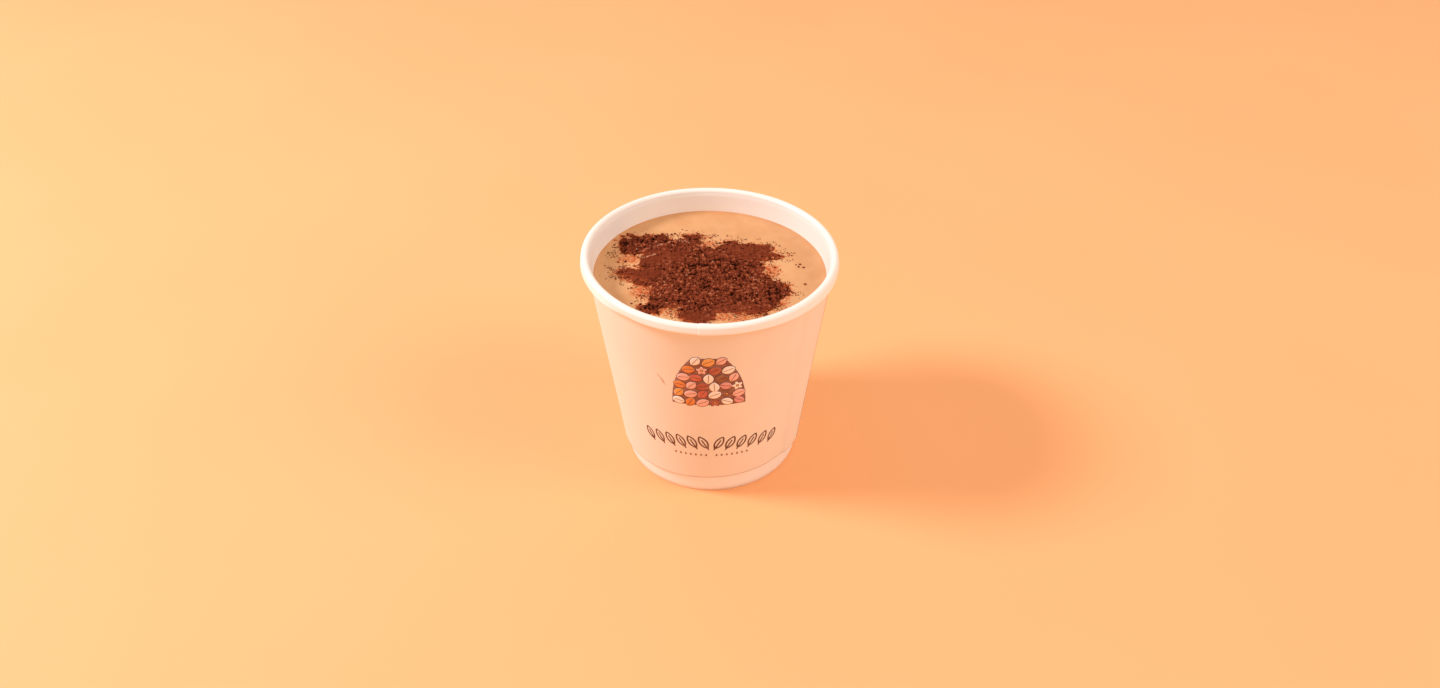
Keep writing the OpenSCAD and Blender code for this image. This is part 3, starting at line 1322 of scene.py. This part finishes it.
    def garland(self, half: float, up: float, sag: float, drop: float) -> None:
        """Lays a row of line-drawn leaves that lean away from its middle.

        Args:
            half: Half of the row's length.
            up: Its height at the middle.
            sag: How much lower its ends are.
            drop: How much lower its right end is than its left.
        """
        count = self.leaf_count
        angle = np.linspace(0, 2 * math.pi, 30, endpoint=False)
        for index in range(count):
            side = 1 if 2 * index >= count else -1
            place = (half - self.leaf_gap) * (2 * index + 1 - count) / count + side * self.leaf_gap
            share = place / half
            height = up - sag * share**2 - drop * share / 2
            size = 1 - 0.12 * abs(share)
            leaf = Mark(Shape.LEAF, place, height, 2.25 * size, 0.92 * size, 90 - 27 * side, Ink.LINE)
            line = Shape.LEAF.outline(angle) * [leaf.half_long, leaf.half_wide]
            self.stroke(self.placed(leaf, line), self.line_width, 1, Ink.LINE, closed=True)
            reach = np.linspace(-1.3, 0.45, 8) * leaf.half_long
            stalk = self.placed(leaf, np.stack([reach, 0 * reach], -1))
            self.stroke(stalk, 0.8 * self.line_width, 2, Ink.LINE)

    def lozenges(self, half: float, up: float) -> None:
        """Lays a row of small lozenges, with a gap in its middle."""
        unit = Shape.LOZENGE.outline(np.linspace(0, 2 * math.pi, 12, endpoint=False)) * [0.3, 0.5]
        for place in np.linspace(-half, half, 15):
            if abs(place) > half / 12:
                self.fill(unit + [place, up], (place, up), 1, Ink.SMALL)

    def crease_shade_and_fleck(self) -> None:
        """Lays the painted shade of a small crease at the heap's left, and the pale fleck by the seam."""
        reach = np.linspace(0, 1, 7)
        for shift, width in ((0.0, 0.22), (0.45, 0.12)):
            along = self.crease_shade[0] + shift + 1.5 * reach + 0.25 * np.sin(3 * reach)
            self.stroke(np.stack([along, self.crease_shade[1] - 2.6 * reach - shift], -1), width, 1, Ink.CREASE_SHADE)
        unit = Shape.DISC.outline(np.linspace(0, 2 * math.pi, 12, endpoint=False))
        self.fill(unit * [0.45, 0.22] + self.fleck, self.fleck, 1, Ink.FLECK)

    def build(self) -> bpy.types.Object:
        """Lays all the ink as one piece.

        Returns:
            The finished piece.
        """
        self.heap(-0.4, 39.9)
        self.garland(17.3, 19.0, 1.35, 1.1)
        self.lozenges(8.9, 14.5)
        self.crease_shade_and_fleck()
        piece = self.draft.piece("front_print")
        PRINT_INK.put_on(piece)
        settle(piece, "print_ink")
        return piece


# ---------------------------------------------------------------- where the powder lies


@dataclass(frozen=True)
class Oval:
    """An oval on the drink: its middle, half sizes and tilt."""

    x: float
    y: float
    half_long: float
    half_wide: float
    tilt: float = 0.0

    def depth(self, x: np.ndarray, y: np.ndarray) -> np.ndarray:
        """Gives how far inside the oval places lie, below 0 outside."""
        c, s = math.cos(math.radians(self.tilt)), math.sin(math.radians(self.tilt))
        along = ((x - self.x) * c + (y - self.y) * s) / self.half_long
        across = ((y - self.y) * c - (x - self.x) * s) / self.half_wide
        return (1 - np.hypot(along, across)) * min(self.half_long, self.half_wide)


@dataclass(frozen=True)
class Streak:
    """A straight streak on the drink, between two places, with rounded ends."""

    x: float
    y: float
    end_x: float
    end_y: float
    half: float

    def depth(self, x: np.ndarray, y: np.ndarray) -> np.ndarray:
        """Gives how far inside the streak places lie, below 0 outside."""
        way_x, way_y = self.end_x - self.x, self.end_y - self.y
        share = ((x - self.x) * way_x + (y - self.y) * way_y) / (way_x**2 + way_y**2)
        share = np.clip(share, 0, 1)
        return self.half - np.hypot(x - self.x - share * way_x, y - self.y - share * way_y)


@dataclass(frozen=True)
class Layout:
    """Where the powder lies on the drink, and what shows in it.

    The patches join into one outline. Gaps in it are bare drink, slits carry a film of milk, and
    cracks are open. Powder is wet and smooth on the flats and darker on the darks, and it has
    soaked in at the stains. The ragged edge is given as sizes, pitches and seeds of noise.
    """

    join: float = 0.5
    ragged: tuple[tuple[float, float, int], ...] = ((0.4, 2.6, 11), (0.55, 1.1, 12), (0.5, 0.5, 13))
    patches: tuple[Oval | Streak, ...] = (
        Oval(0, -3, 14.2, 12.6),
        Oval(-3, 8, 7, 3.2),
        Oval(-9.5, 8.5, 7, 4.8, 10),
        Oval(-12.5, 3, 4.8, 4.6),
        Oval(-9, -9.8, 5.6, 5.5),
        Oval(5, -12.3, 7.5, 5.2),
        Oval(11.4, -12, 4.2, 6.0, -15),
        Oval(13.2, -7.6, 5.6, 4.0, -12),
        Oval(8.6, 8.4, 7.0, 4.4, -4),
        Oval(12.2, 9.4, 2.9, 2.8),
        Oval(4.4, 11.0, 2.4, 2.5),
        Streak(14, 7.8, 18, 6.9, 0.7),
        Oval(-4.6, 14.2, 3.4, 2.4),
        Oval(-15.5, 12.8, 6.0, 2.9, 12),
        Oval(-21, 11.4, 1.9, 3.7),
        Oval(-17.5, 10.2, 4, 2.2, 15),
        Oval(-19.4, -1.2, 3.0, 1.8, -10),
        Oval(-15.5, -2.2, 3, 2.4),
        Streak(-18, -4.8, -13.5, -6.2, 0.5),
        Oval(-13.8, -15.8, 2.4, 1.7, -20),
        Streak(-13, -13.6, -9, -14.0, 0.9),
        Oval(-2.8, -17.2, 4.2, 4.5),
    )
    gaps: tuple[Oval, ...] = (
        Oval(-0.3, 13.4, 2.4, 2.2),
        Oval(15.8, 0.6, 3.0, 3.6),
        Oval(5.8, -20.5, 5, 2.4),
        Oval(-16.4, -9.2, 2.6, 2.6),
        Oval(-9.8, -17.6, 3.0, 2.0),
    )
    slits: tuple[Streak, ...] = (
        Streak(-17.2, 8.2, -14.4, 9.9, 0.2),
        Streak(-14.4, 9.9, -10.1, 13.0, 0.26),
        Streak(-10.1, 13.0, -7.4, 13.7, 0.2),
        Streak(-7.4, 13.7, -5.2, 12.6, 0.16),
        Streak(-17.0, 5.2, -13.6, 7.0, 0.18),
        Streak(-6.2, -1.6, -4.0, -1.2, 0.16),
    )
    cracks: tuple[Streak, ...] = (
        Streak(-5.2, 1.2, -3.0, 2.2, 0.3),
        Streak(-3.0, 2.2, 0.4, 1.8, 0.35),
        Streak(-6.0, -2.4, -3.6, -2.2, 0.2),
        Streak(-1.0, -7.4, 2.6, -9.0, 0.25),
        Streak(2.6, -9.0, 7.4, -8.4, 0.15),
    )
    flats: tuple[Oval, ...] = (
        Oval(9.6, 9.2, 6.6, 3.6, -6),
        Oval(-12.6, 5.6, 5.6, 3.6, 15),
        Oval(-3, -19.8, 4.2, 2.4),
        Oval(6, -16.4, 5.5, 1.6),
        Oval(-16.5, -2.4, 4.6, 2.6),
    )
    darks: tuple[Oval, ...] = (
        Oval(-20.6, 11.4, 3.2, 3.8),
        Oval(-15.0, 13.4, 4.6, 2.0, 12),
        Oval(-13.8, -15.6, 3.0, 2.0, -20),
        Oval(15.5, -9.5, 3.0, 3.6),
    )
    stains: tuple[Oval, ...] = (
        Oval(14.4, 0.4, 3.0, 3.4),
        Oval(-15.6, -8.4, 3.6, 3.8),
        Oval(5.6, -19.0, 5.6, 2.0),
        Oval(-10.6, -16.4, 4.8, 2.2),
        Oval(-19.4, -1.6, 4.6, 3.2),
        Oval(-0.3, 12.4, 2.4, 1.8),
        Oval(16.4, -13.0, 2.4, 2.0, 60),
        Oval(-19.5, 5.0, 3.6, 2.2, 10),
    )
    crumbs: tuple[tuple[float, float], ...] = (
        (-9.8, 16.8), (-9.0, 17.1), (-11.0, 17.0), (2.0, 16.4), (1.4, 15.8), (17.4, 11.8), (19.2, 8.5),
        (19.7, 8.1), (20.2, 7.3), (21.0, 3.2), (22.0, 3.4), (22.8, 2.0), (21.6, 2.3), (17.1, 1.0),
        (22.7, -5.3), (-23.9, 8.2), (-24.0, 11.4), (-22.5, 3.5), (-20.7, 3.8), (-21.3, 2.3),
        (-19.3, -7.9), (-18.6, -7.6), (-16.0, -9.2), (-16.4, -10.8), (-17.2, -11.5), (-17.0, -10.3),
        (-18.2, -14.0), (-22.6, -3.8), (-24.6, -1.0), (14.6, -0.6), (15.2, -2.2), (15.8, 1.8),
    )

    def depth(self, x: np.ndarray, y: np.ndarray) -> np.ndarray:
        """Gives how far inside the powder's ragged outline places lie.

        Args:
            x, y: Flat places on the drink.

        Returns:
            The distance to the outline, below 0 on bare drink.
        """
        inside = self.patches[0].depth(x, y)
        for patch in self.patches[1:]:
            inside = np.logaddexp(inside / self.join, patch.depth(x, y) / self.join) * self.join
        for gap in self.gaps:
            inside = np.minimum(inside, -gap.depth(x, y))
        ragged = sum(size * Noise(pitch, seed).at(x, y) for size, pitch, seed in self.ragged)
        return inside + ragged * (1.0 + 0.35 * ease(-4, 10, y))

    def share(self, ovals: tuple[Oval, ...], x: np.ndarray, y: np.ndarray, soft: float = 1.2) -> np.ndarray:
        """Gives how much places belong to any of some ovals, from 0 to 1."""
        inside = np.max([oval.depth(x, y) for oval in ovals], 0)
        return ease(-soft, soft, inside + 0.5 * Noise(1.6, 21).at(x, y))


# ---------------------------------------------------------------- drink


@dataclass
class Drink:
    """The milky drink, with its edge drawn up the wall."""

    sizes: CupSizes
    lean: Lean
    layout: Layout
    climb: float = 0.4
    climb_reach: float = 0.8
    into_wall: float = 0.06
    # Painted shade where the drink meets the wall: how dark it is, and how far from the wall it reaches.
    wall_shade_share: float = 0.4
    wall_shade_reach: float = 0.45
    halo_stain: float = 0.75
    patch_stain: float = 0.6
    spokes: int = 480
    rings: int = 104
    finish: Finish = MILKY_DRINK

    def surface(self, x: np.ndarray, y: np.ndarray) -> np.ndarray:
        """Gives the height of the drink's surface.

        Args:
            x, y: Flat places.

        Returns:
            The heights.
        """
        s = self.sizes
        to_wall = s.wall_in(s.drink_z) - np.hypot(x, y)
        drawn_up = self.climb * np.exp(-np.clip(to_wall, 0, None) / self.climb_reach)
        swell = 0.03 * Noise(5.0, 31).at(x, y) + 0.012 * Noise(1.2, 32).at(x, y)
        return s.drink_z + self.lean.level(x) + drawn_up + swell

    def values(self, x: np.ndarray, y: np.ndarray) -> dict[str, np.ndarray]:
        """Gives how stained and soaked places are, how much painted shade they take close to the wall, and
        how many crumbs fall there.
        """
        near = self.layout.depth(x, y)
        halo = ease(-1.6, 0.2, near)
        patch = self.layout.share(self.layout.stains, x, y)
        stain = np.maximum(self.halo_stain * halo, self.patch_stain * patch)
        soak = ease(-0.9, 0.3, near + 0.3 * Noise(0.6, 33).at(x, y))
        to_wall = self.sizes.wall_in(self.sizes.drink_z) - np.hypot(x, y)
        patchy = 0.2 + 1.6 * ease(-0.1, 0.7, Noise(1.5, 34).at(x, y))
        litter = ease(-4.4, 0.0, near) ** 2.4 * patchy * (near < 0.1) * (to_wall > 1.5)
        # edge is painted shade: the drink darkens close to the wall.
        edge = self.wall_shade_share * np.exp(-to_wall / self.wall_shade_reach)
        return {"stain": stain, "soak": soak, "edge": edge, "grit": litter}

    def build(self) -> bpy.types.Object:
        """Builds the drink down to the cup's raised bottom.

        Returns:
            The finished piece.
        """
        s = self.sizes
        edge_r = s.wall_in(s.drink_z + self.climb) + self.into_wall
        share = np.linspace(0, 1, self.rings + 1)[1:]
        share = 1 - (1 - share) ** 1.25
        turn = np.linspace(-180, 180, self.spokes, endpoint=False)[None, :]
        flat = around(turn, edge_r * share[:, None], 0.0)
        x, y = flat[..., 0], flat[..., 1]
        flat[..., 2] = self.surface(x, y)
        draft = Draft("stain", "soak", "edge", "grit")
        top = draft.points(flat, **self.values(x, y))
        zero = np.zeros(1)
        middle = np.stack([zero, zero, self.surface(zero, zero)], -1)
        tip = draft.points(middle, **self.values(zero, zero))
        draft.fan(int(tip[0]), top[0][::-1])
        draft.sheet(top, wrap_columns=True)
        heights = np.array([s.drink_z - 1.0, (s.drink_z + s.bottom_z) / 2, s.bottom_z + 0.02])[:, None]
        # The drink's side against the wall takes the painted shade in full.
        side = draft.points(around(turn, s.wall_in(heights) + self.into_wall, heights), edge=self.wall_shade_share)
        draft.sheet(np.concatenate([top[-1:], side]), wrap_columns=True)
        foot = draft.points(np.array([[0.0, 0.0, s.bottom_z + 0.02]]))
        draft.fan(int(foot[0]), side[-1])
        piece = draft.piece("milky_drink", sharp=60)
        self.finish.put_on(piece)
        settle(piece, "milky_chocolate", "drink")
        return piece


# ---------------------------------------------------------------- grains, by Geometry Nodes


@dataclass
class GrainTree:
    """A Geometry Nodes tree that scatters small uneven grains over a surface.

    The surface's own value called grit says where they fall, from 0 to 1. A grain's tone is partly
    that of its clump and partly its own.
    """

    name: str = "loose_grains"
    clump_share: float = 0.55

    def tree(self) -> bpy.types.NodeTree:
        """Builds the tree, with its named inputs.

        Returns:
            The tree.
        """
        tree = bpy.data.node_groups.new(self.name, "GeometryNodeTree")
        kinds = {
            "Surface": "NodeSocketGeometry",
            "Grains Per Area": "NodeSocketFloat",
            "Smallest": "NodeSocketFloat",
            "Largest": "NodeSocketFloat",
            "Unevenness": "NodeSocketFloat",
            "Clump Scale": "NodeSocketFloat",
            "Seed": "NodeSocketInt",
            "Finish": "NodeSocketMaterial",
        }
        for label, kind in kinds.items():
            tree.interface.new_socket(name=label, in_out="INPUT", socket_type=kind)
        tree.interface.new_socket(name="Grains", in_out="OUTPUT", socket_type="NodeSocketGeometry")
        nodes = Nodes(tree)
        given = nodes.add("NodeGroupInput").outputs
        grit = nodes.add("GeometryNodeInputNamedAttribute", {"data_type": "FLOAT"}, Name="grit")
        density = nodes.math("MULTIPLY", grit.outputs["Attribute"], given["Grains Per Area"])
        fallen = nodes.add(
            "GeometryNodeDistributePointsOnFaces", Mesh=given["Surface"], Density=density, Seed=given["Seed"]
        )
        ball = nodes.add("GeometryNodeMeshIcoSphere", Radius=1.0, Subdivisions=1)
        size = self.random(nodes, given["Seed"], given["Smallest"], given["Largest"])
        shape = self.random(nodes, given["Seed"], (0.7, 0.7, 0.45), (1.2, 1.2, 0.95))
        scaled = nodes.add("ShaderNodeVectorMath", {"operation": "SCALE"}, Scale=size)
        nodes.feed(scaled, 0, shape)
        full = 2 * math.pi
        spin = self.random(nodes, given["Seed"], (-0.5, -0.5, 0.0), (0.5, 0.5, full))
        turned = nodes.add("FunctionNodeEulerToRotation", Euler=spin)
        laid = nodes.add(
            "GeometryNodeInstanceOnPoints",
            Points=fallen.outputs["Points"],
            Instance=ball.outputs["Mesh"],
            Rotation=turned.outputs[0],
            Scale=scaled.outputs[0],
        )
        where = nodes.add("GeometryNodeInputPosition").outputs[0]
        clump = nodes.add("ShaderNodeTexNoise", Vector=where, Scale=given["Clump Scale"], Detail=1.0)
        clumped = nodes.math("MULTIPLY", nodes.spread(clump.outputs["Fac"], 0.38, 0.64), self.clump_share)
        own = nodes.math("MULTIPLY", self.random(nodes, given["Seed"], 0.0, 1.0), 1 - self.clump_share)
        tone = nodes.math("ADD", clumped, own)
        toned = nodes.add(
            "GeometryNodeStoreNamedAttribute",
            {"data_type": "FLOAT", "domain": "INSTANCE"},
            Geometry=laid.outputs[0],
            Name="tone",
            Value=tone,
        )
        real = nodes.add("GeometryNodeRealizeInstances", Geometry=toned.outputs[0])
        place = nodes.add("GeometryNodeInputPosition").outputs[0]
        rough = nodes.add("ShaderNodeTexNoise", Vector=place, Scale=4200.0, Detail=1.0)
        centred = nodes.add("ShaderNodeVectorMath", {"operation": "SUBTRACT"})
        nodes.feed(centred, 0, rough.outputs["Color"])
        nodes.feed(centred, 1, (0.5, 0.5, 0.5))
        push = nodes.add("ShaderNodeVectorMath", {"operation": "SCALE"}, Scale=given["Unevenness"])
        nodes.feed(push, 0, centred.outputs[0])
        moved = nodes.add("GeometryNodeSetPosition", Geometry=real.outputs[0], Offset=push.outputs[0])
        dressed = nodes.add("GeometryNodeSetMaterial", Geometry=moved.outputs[0], Material=given["Finish"])
        nodes.add("NodeGroupOutput", Grains=dressed.outputs[0])
        return tree

    def random(
        self, nodes: Nodes, seed: bpy.types.NodeSocket, low: Input, high: Input
    ) -> bpy.types.NodeSocket:
        """Adds a random number or vector between two limits.

        Args:
            nodes: The tree's nodes.
            seed: The tree's seed.
            low, high: The limits: numbers, sockets or vectors.

        Returns:
            The random output.
        """
        vector = isinstance(low, tuple)
        node = nodes.tree.nodes.new("FunctionNodeRandomValue")
        node.data_type = "FLOAT_VECTOR" if vector else "FLOAT"
        limits = [socket for socket in node.inputs if socket.enabled][:2]
        for socket, value in zip(limits, (low, high)):
            nodes.give(socket, value)
        own = nodes.math("ADD", seed, float(len(nodes.tree.nodes)))
        nodes.tree.links.new(own, node.inputs["Seed"])
        return next(socket for socket in node.outputs if socket.enabled)

    def scatter(
        self, surface: bpy.types.Object, name: str, finish: Finish, **inputs: float
    ) -> bpy.types.Object:
        """Scatters grains over a surface and makes them one plain mesh.

        Args:
            surface: The piece that they fall on.
            name: The name of the new piece.
            finish: The grains' finish.
            inputs: The tree's inputs by name, with _ for a space.

        Returns:
            The new piece.
        """
        tree = bpy.data.node_groups.get(self.name) or self.tree()
        carrier = shown(f"{name}_carrier", surface.data)
        modifier = carrier.modifiers.new("grains", "NODES")
        modifier.node_group = tree
        named = {item.name: item.identifier for item in tree.interface.items_tree if item.in_out == "INPUT"}
        for label, value in {**inputs, "Finish": finish.material()}.items():
            modifier[named[label.replace("_", " ")]] = value
        seen = bpy.context.evaluated_depsgraph_get()
        mesh = bpy.data.meshes.new_from_object(
            carrier.evaluated_get(seen), preserve_all_data_layers=True, depsgraph=seen
        )
        mesh.name = name
        bpy.data.objects.remove(carrier)
        return shown(name, mesh)


# ---------------------------------------------------------------- cocoa powder


@dataclass
class CocoaPowder:
    """The cocoa powder: a relief core, grains on it, and crumbs on the drink round it."""

    sizes: CupSizes
    layout: Layout
    drink: Drink
    step: float = 0.15
    reach: float = 24.5
    thickness: float = 0.55
    sunk: float = 0.3
    bank_reach: float = 0.9
    big: Lumps = Lumps(1.2, 41, (0.36, 0.66))
    small: Lumps = Lumps(0.66, 45, (0.36, 0.64))
    finish: Finish = COCOA

    def relief(self, x: np.ndarray, y: np.ndarray, inside: np.ndarray) -> dict[str, np.ndarray]:
        """Works out the powder's height and its named values.

        Args:
            x, y: Flat places.
            inside: Distance from the outline.

        Returns:
            The height above the drink under that name, and the values relief (painted shade in pits and
            cracks and painted light on lumps, darker also on the darks), wet, film, thin and grit.
        """
        flat = self.layout.share(self.layout.flats, x, y, 1.6)
        rough = 1 - 0.65 * flat
        big, small = self.big.at(x, y), self.small.at(x, y)
        pit = ease(0.1, 0.6, Noise(1.0, 47).at(x, y))
        broad = 0.5 + 0.5 * Noise(3.4, 48).at(x, y)
        lumps = 0.6 * big + 0.45 * small - 0.4 * pit * rough
        slit = np.max([streak.depth(x, y) for streak in self.layout.slits], 0)
        film = ease(-0.1, 0.14, slit + 0.1 * Noise(0.8, 14).at(x, y))
        crack = np.max([streak.depth(x, y) for streak in self.layout.cracks], 0)
        crack = ease(-0.25, 0.15, crack + 0.15 * Noise(0.7, 49).at(x, y))
        bank = 1 - np.exp(-np.clip(inside, 0, None) / self.bank_reach)
        height = 0.06 + bank * (0.22 + self.thickness * (0.35 * broad + rough * lumps) + 0.06 * small)
        height = height * (1 - 0.75 * np.maximum(crack, film))
        dark = self.layout.share(self.layout.darks, x, y, 1.6)
        # Painted shade and light: darker in pits, cracks and on the darks, lighter on the lumps.
        shade = 0.12 + rough * 0.8 * lumps + 0.15 * broad + 0.3 * flat - 0.7 * crack - 0.22 * dark
        shade = np.clip(shade, 0, 1)
        return {
            "height": height,
            "relief": shade,
            "wet": flat,
            "film": film,
            "thin": 1 - ease(0.0, 0.9, inside),
            "grit": np.clip(1.1 * rough - 0.1, 0, 1) * (1 - np.maximum(crack, film)),
        }

    def build(self) -> bpy.types.Object:
        """Builds the relief core.

        Returns:
            The finished core.
        """
        line = np.arange(-self.reach, self.reach, self.step)
        x, y = np.meshgrid(line, line, indexing="ij")
        inside = self.layout.depth(x, y)
        grad_x, grad_y = np.gradient(inside, self.step)
        size = grad_x**2 + grad_y**2 + 0.3
        edge = np.abs(inside) < self.step
        pull = np.where(edge, -inside / size, 0.0)
        limit = 0.45 * self.step
        x = x + np.clip(pull * grad_x, -limit, limit)
        y = y + np.clip(pull * grad_y, -limit, limit)
        keep = inside > -0.3 * self.step
        cells = keep[:-1, :-1] & keep[1:, :-1] & keep[1:, 1:] & keep[:-1, 1:]
        used = np.zeros(keep.shape, bool)
        for i, j in ((0, 0), (1, 0), (1, 1), (0, 1)):
            used[i : used.shape[0] - 1 + i, j : used.shape[1] - 1 + j] |= cells
        values = self.relief(x[used], y[used], inside[used])
        level = self.drink.surface(x[used], y[used])
        height = values.pop("height")
        draft = Draft("relief", "wet", "film", "thin", "grit")
        number = np.full(keep.shape, -1)
        number[used] = draft.points(np.stack([x[used], y[used], level + height], -1), **values)
        below = np.full(keep.shape, -1)
        below[used] = draft.points(np.stack([x[used], y[used], level - self.sunk], -1))
        corner = np.stack([number[:-1, :-1], number[1:, :-1], number[1:, 1:], number[:-1, 1:]], -1)[cells]
        under = np.stack([below[:-1, :-1], below[1:, :-1], below[1:, 1:], below[:-1, 1:]], -1)[cells]
        draft.quads(corner)
        draft.quads(under[:, ::-1])
        draft.quads(self.rim(corner, under))
        piece = draft.piece("cocoa_powder_core")
        self.finish.put_on(piece)
        settle(piece, "cocoa", "cocoa_powder")
        return piece

    @staticmethod
    def rim(corner: np.ndarray, under: np.ndarray) -> np.ndarray:
        """Gives the faces that close the core between its top and its underside.

        Args:
            corner: The top's faces.
            under: The same faces of the underside.

        Returns:
            The faces along the outline.
        """
        a, b = corner.ravel(), np.roll(corner, -1, 1).ravel()
        low_a, low_b = under.ravel(), np.roll(under, -1, 1).ravel()
        total = int(corner.max()) + 1
        alone = ~np.isin(a * total + b, b * total + a)
        return np.stack([b[alone], a[alone], low_a[alone], low_b[alone]], -1)

    def crumbs(self) -> bpy.types.Object:
        """Makes a few larger crumbs at their own places on the drink.

        Returns:
            The finished piece.
        """
        draft = Draft("tone")
        turn = np.linspace(0, 2 * math.pi, 8, endpoint=False)
        lift, wide = np.array([[-0.6, 0.1, 0.6], [0.7, 1.0, 0.7]])[:, :, None]
        for index, (x, y) in enumerate(self.layout.crumbs):
            size = 0.16 + 0.2 * float(scrambled(np.array(index), np.array(3), 61))
            tone = 0.2 + 0.5 * float(scrambled(np.array(index), np.array(5), 61))
            z = float(self.drink.surface(np.array([x]), np.array([y]))[0])
            bumpy = 1 + 0.25 * np.sin(3 * turn + index) + 0.15 * np.sin(5 * turn + 2 * index)
            reach = size * wide * bumpy
            places = (x + reach * np.cos(turn), y + 0.85 * reach * np.sin(turn), z + lift * size)
            ids = draft.points(np.stack(np.broadcast_arrays(*places), -1), tone=tone)
            draft.sheet(ids, wrap_columns=True)
            tips = draft.points(np.array([[x, y, z - 0.8 * size], [x, y, z + 0.85 * size]]), tone=tone)
            draft.fan(int(tips[0]), ids[0][::-1])
            draft.fan(int(tips[1]), ids[-1])
        piece = draft.piece("cocoa_crumbs")
        COCOA_GRAINS.put_on(piece)
        settle(piece, "cocoa", "cocoa_powder")
        return piece

    def grains(self, core: bpy.types.Object, drink: bpy.types.Object) -> None:
        """Scatters loose grains on the core, and fine specks on the drink round it.

        Args:
            core: The relief core.
            drink: The drink.
        """
        tree = GrainTree()
        on_top = tree.scatter(
            core,
            "cocoa_grains",
            COCOA_GRAINS,
            Grains_Per_Area=4.8e6,
            Smallest=0.08 * MM,
            Largest=0.27 * MM,
            Unevenness=0.22 * MM,
            Clump_Scale=1150.0,
            Seed=7,
        )
        settle(on_top, "cocoa", "cocoa_powder")
        specks = tree.scatter(
            drink,
            "cocoa_specks",
            COCOA_GRAINS,
            Grains_Per_Area=9.0e6,
            Smallest=0.06 * MM,
            Largest=0.2 * MM,
            Unevenness=0.16 * MM,
            Clump_Scale=500.0,
            Seed=19,
        )
        settle(specks, "cocoa", "cocoa_powder")


# ---------------------------------------------------------------- floor, light and camera


@dataclass(frozen=True)
class Lamp:
    """A soft lamp: where it stands, where it points, its size and its power."""

    name: str
    turn: float
    elevation: float
    distance: float
    size: float
    power: float
    colour: tuple[float, float, float]


@dataclass(frozen=True)
class Studio:
    """A plain pale floor, soft light and the camera. Distances are in metres."""

    aim: tuple[float, float, float] = (0.00229, 0.0, 0.03016)
    distance: float = 0.27986
    elevation: float = 37.14
    roll: float = -0.37
    lens: float = 27.5
    sensor: float = 36.0
    floor_half: float = 3.0
    ambient: tuple[float, float, float] = (1.0, 0.78, 0.65)
    ambient_strength: float = 0.72
    lamps: tuple[Lamp, ...] = (
        Lamp("key_lamp", -90.0, 40.0, 0.9, 0.26, 6.0, (1.0, 0.89, 0.97)),
        Lamp("fill_lamp", 75.0, 38.0, 1.1, 0.6, 4.1, (1.0, 0.84, 0.8)),
    )

    def floor(self) -> None:
        """Lays the floor."""
        half = self.floor_half
        corners = [(-half, -half, 0), (half, -half, 0), (half, half, 0), (-half, half, 0)]
        mesh = bpy.data.meshes.new("floor")
        mesh.from_pydata(corners, [], [(0, 1, 2, 3)])
        floor = shown("floor", mesh)
        FLOOR_CARD.put_on(floor)

    def light(self) -> None:
        """Hangs the lamps and sets the light all round."""
        scene = bpy.context.scene
        scene.view_settings.view_transform = "Standard"
        middle = Vector(self.aim)
        for lamp in self.lamps:
            data = bpy.data.lights.new(lamp.name, "AREA")
            data.shape, data.size = "DISK", lamp.size
            data.energy, data.color = lamp.power, lamp.colour
            hung = bpy.data.objects.new(lamp.name, data)
            scene.collection.objects.link(hung)
            level = math.cos(math.radians(lamp.elevation))
            way = around(lamp.turn, level, math.sin(math.radians(lamp.elevation)))
            hung.location = middle + Vector(way) * lamp.distance
            hung.rotation_euler = Vector(way).to_track_quat("Z", "Y").to_euler()
        world = bpy.data.worlds.new("studio")
        scene.world = world
        world.use_nodes = True
        sky = world.node_tree.nodes["Background"]
        sky.inputs["Color"].default_value = (*self.ambient, 1.0)
        sky.inputs["Strength"].default_value = self.ambient_strength

    def camera(self) -> None:
        """Sets up the camera."""
        data = bpy.data.cameras.new("camera")
        data.lens, data.sensor_width = self.lens, self.sensor
        data.clip_start, data.clip_end = 0.01, 20.0
        seen = bpy.data.objects.new("camera", data)
        bpy.context.scene.collection.objects.link(seen)
        rise = math.radians(self.elevation)
        back = Vector((0.0, -math.cos(rise), math.sin(rise)))
        look = back.to_track_quat("Z", "Y").to_matrix().to_4x4()
        seen.matrix_world = (
            Matrix.Translation(Vector(self.aim) + back * self.distance)
            @ look
            @ Matrix.Rotation(math.radians(self.roll), 4, "Z")
        )
        bpy.context.scene.camera = seen

    def build(self) -> None:
        """Sets up the camera, the floor and the light."""
        self.camera()
        self.floor()
        self.light()


# ---------------------------------------------------------------- all of it


def main() -> None:
    """Builds the cup of hot chocolate round the frame."""
    logging.basicConfig(level=logging.INFO, format="%(message)s")
    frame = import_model()
    sizes = CupSizes.from_frame(frame["nodes"])
    LOG.info("sizes: %s", sizes)
    Studio().build()
    lean, layout = Lean(), Layout()
    PaperCup(sizes, lean).build()
    WHITE_PAPER.put_on(frame["nodes"]["cup_bottom"])
    sleeve = Sleeve(sizes, lean)
    sleeve.build()
    SleevePrint(sleeve, lean).build()
    drink = Drink(sizes, lean, layout)
    drink_piece = drink.build()
    powder = CocoaPowder(sizes, layout, drink)
    core = powder.build()
    powder.grains(core, drink_piece)
    powder.crumbs()


if __name__ == "__main__":
    main()
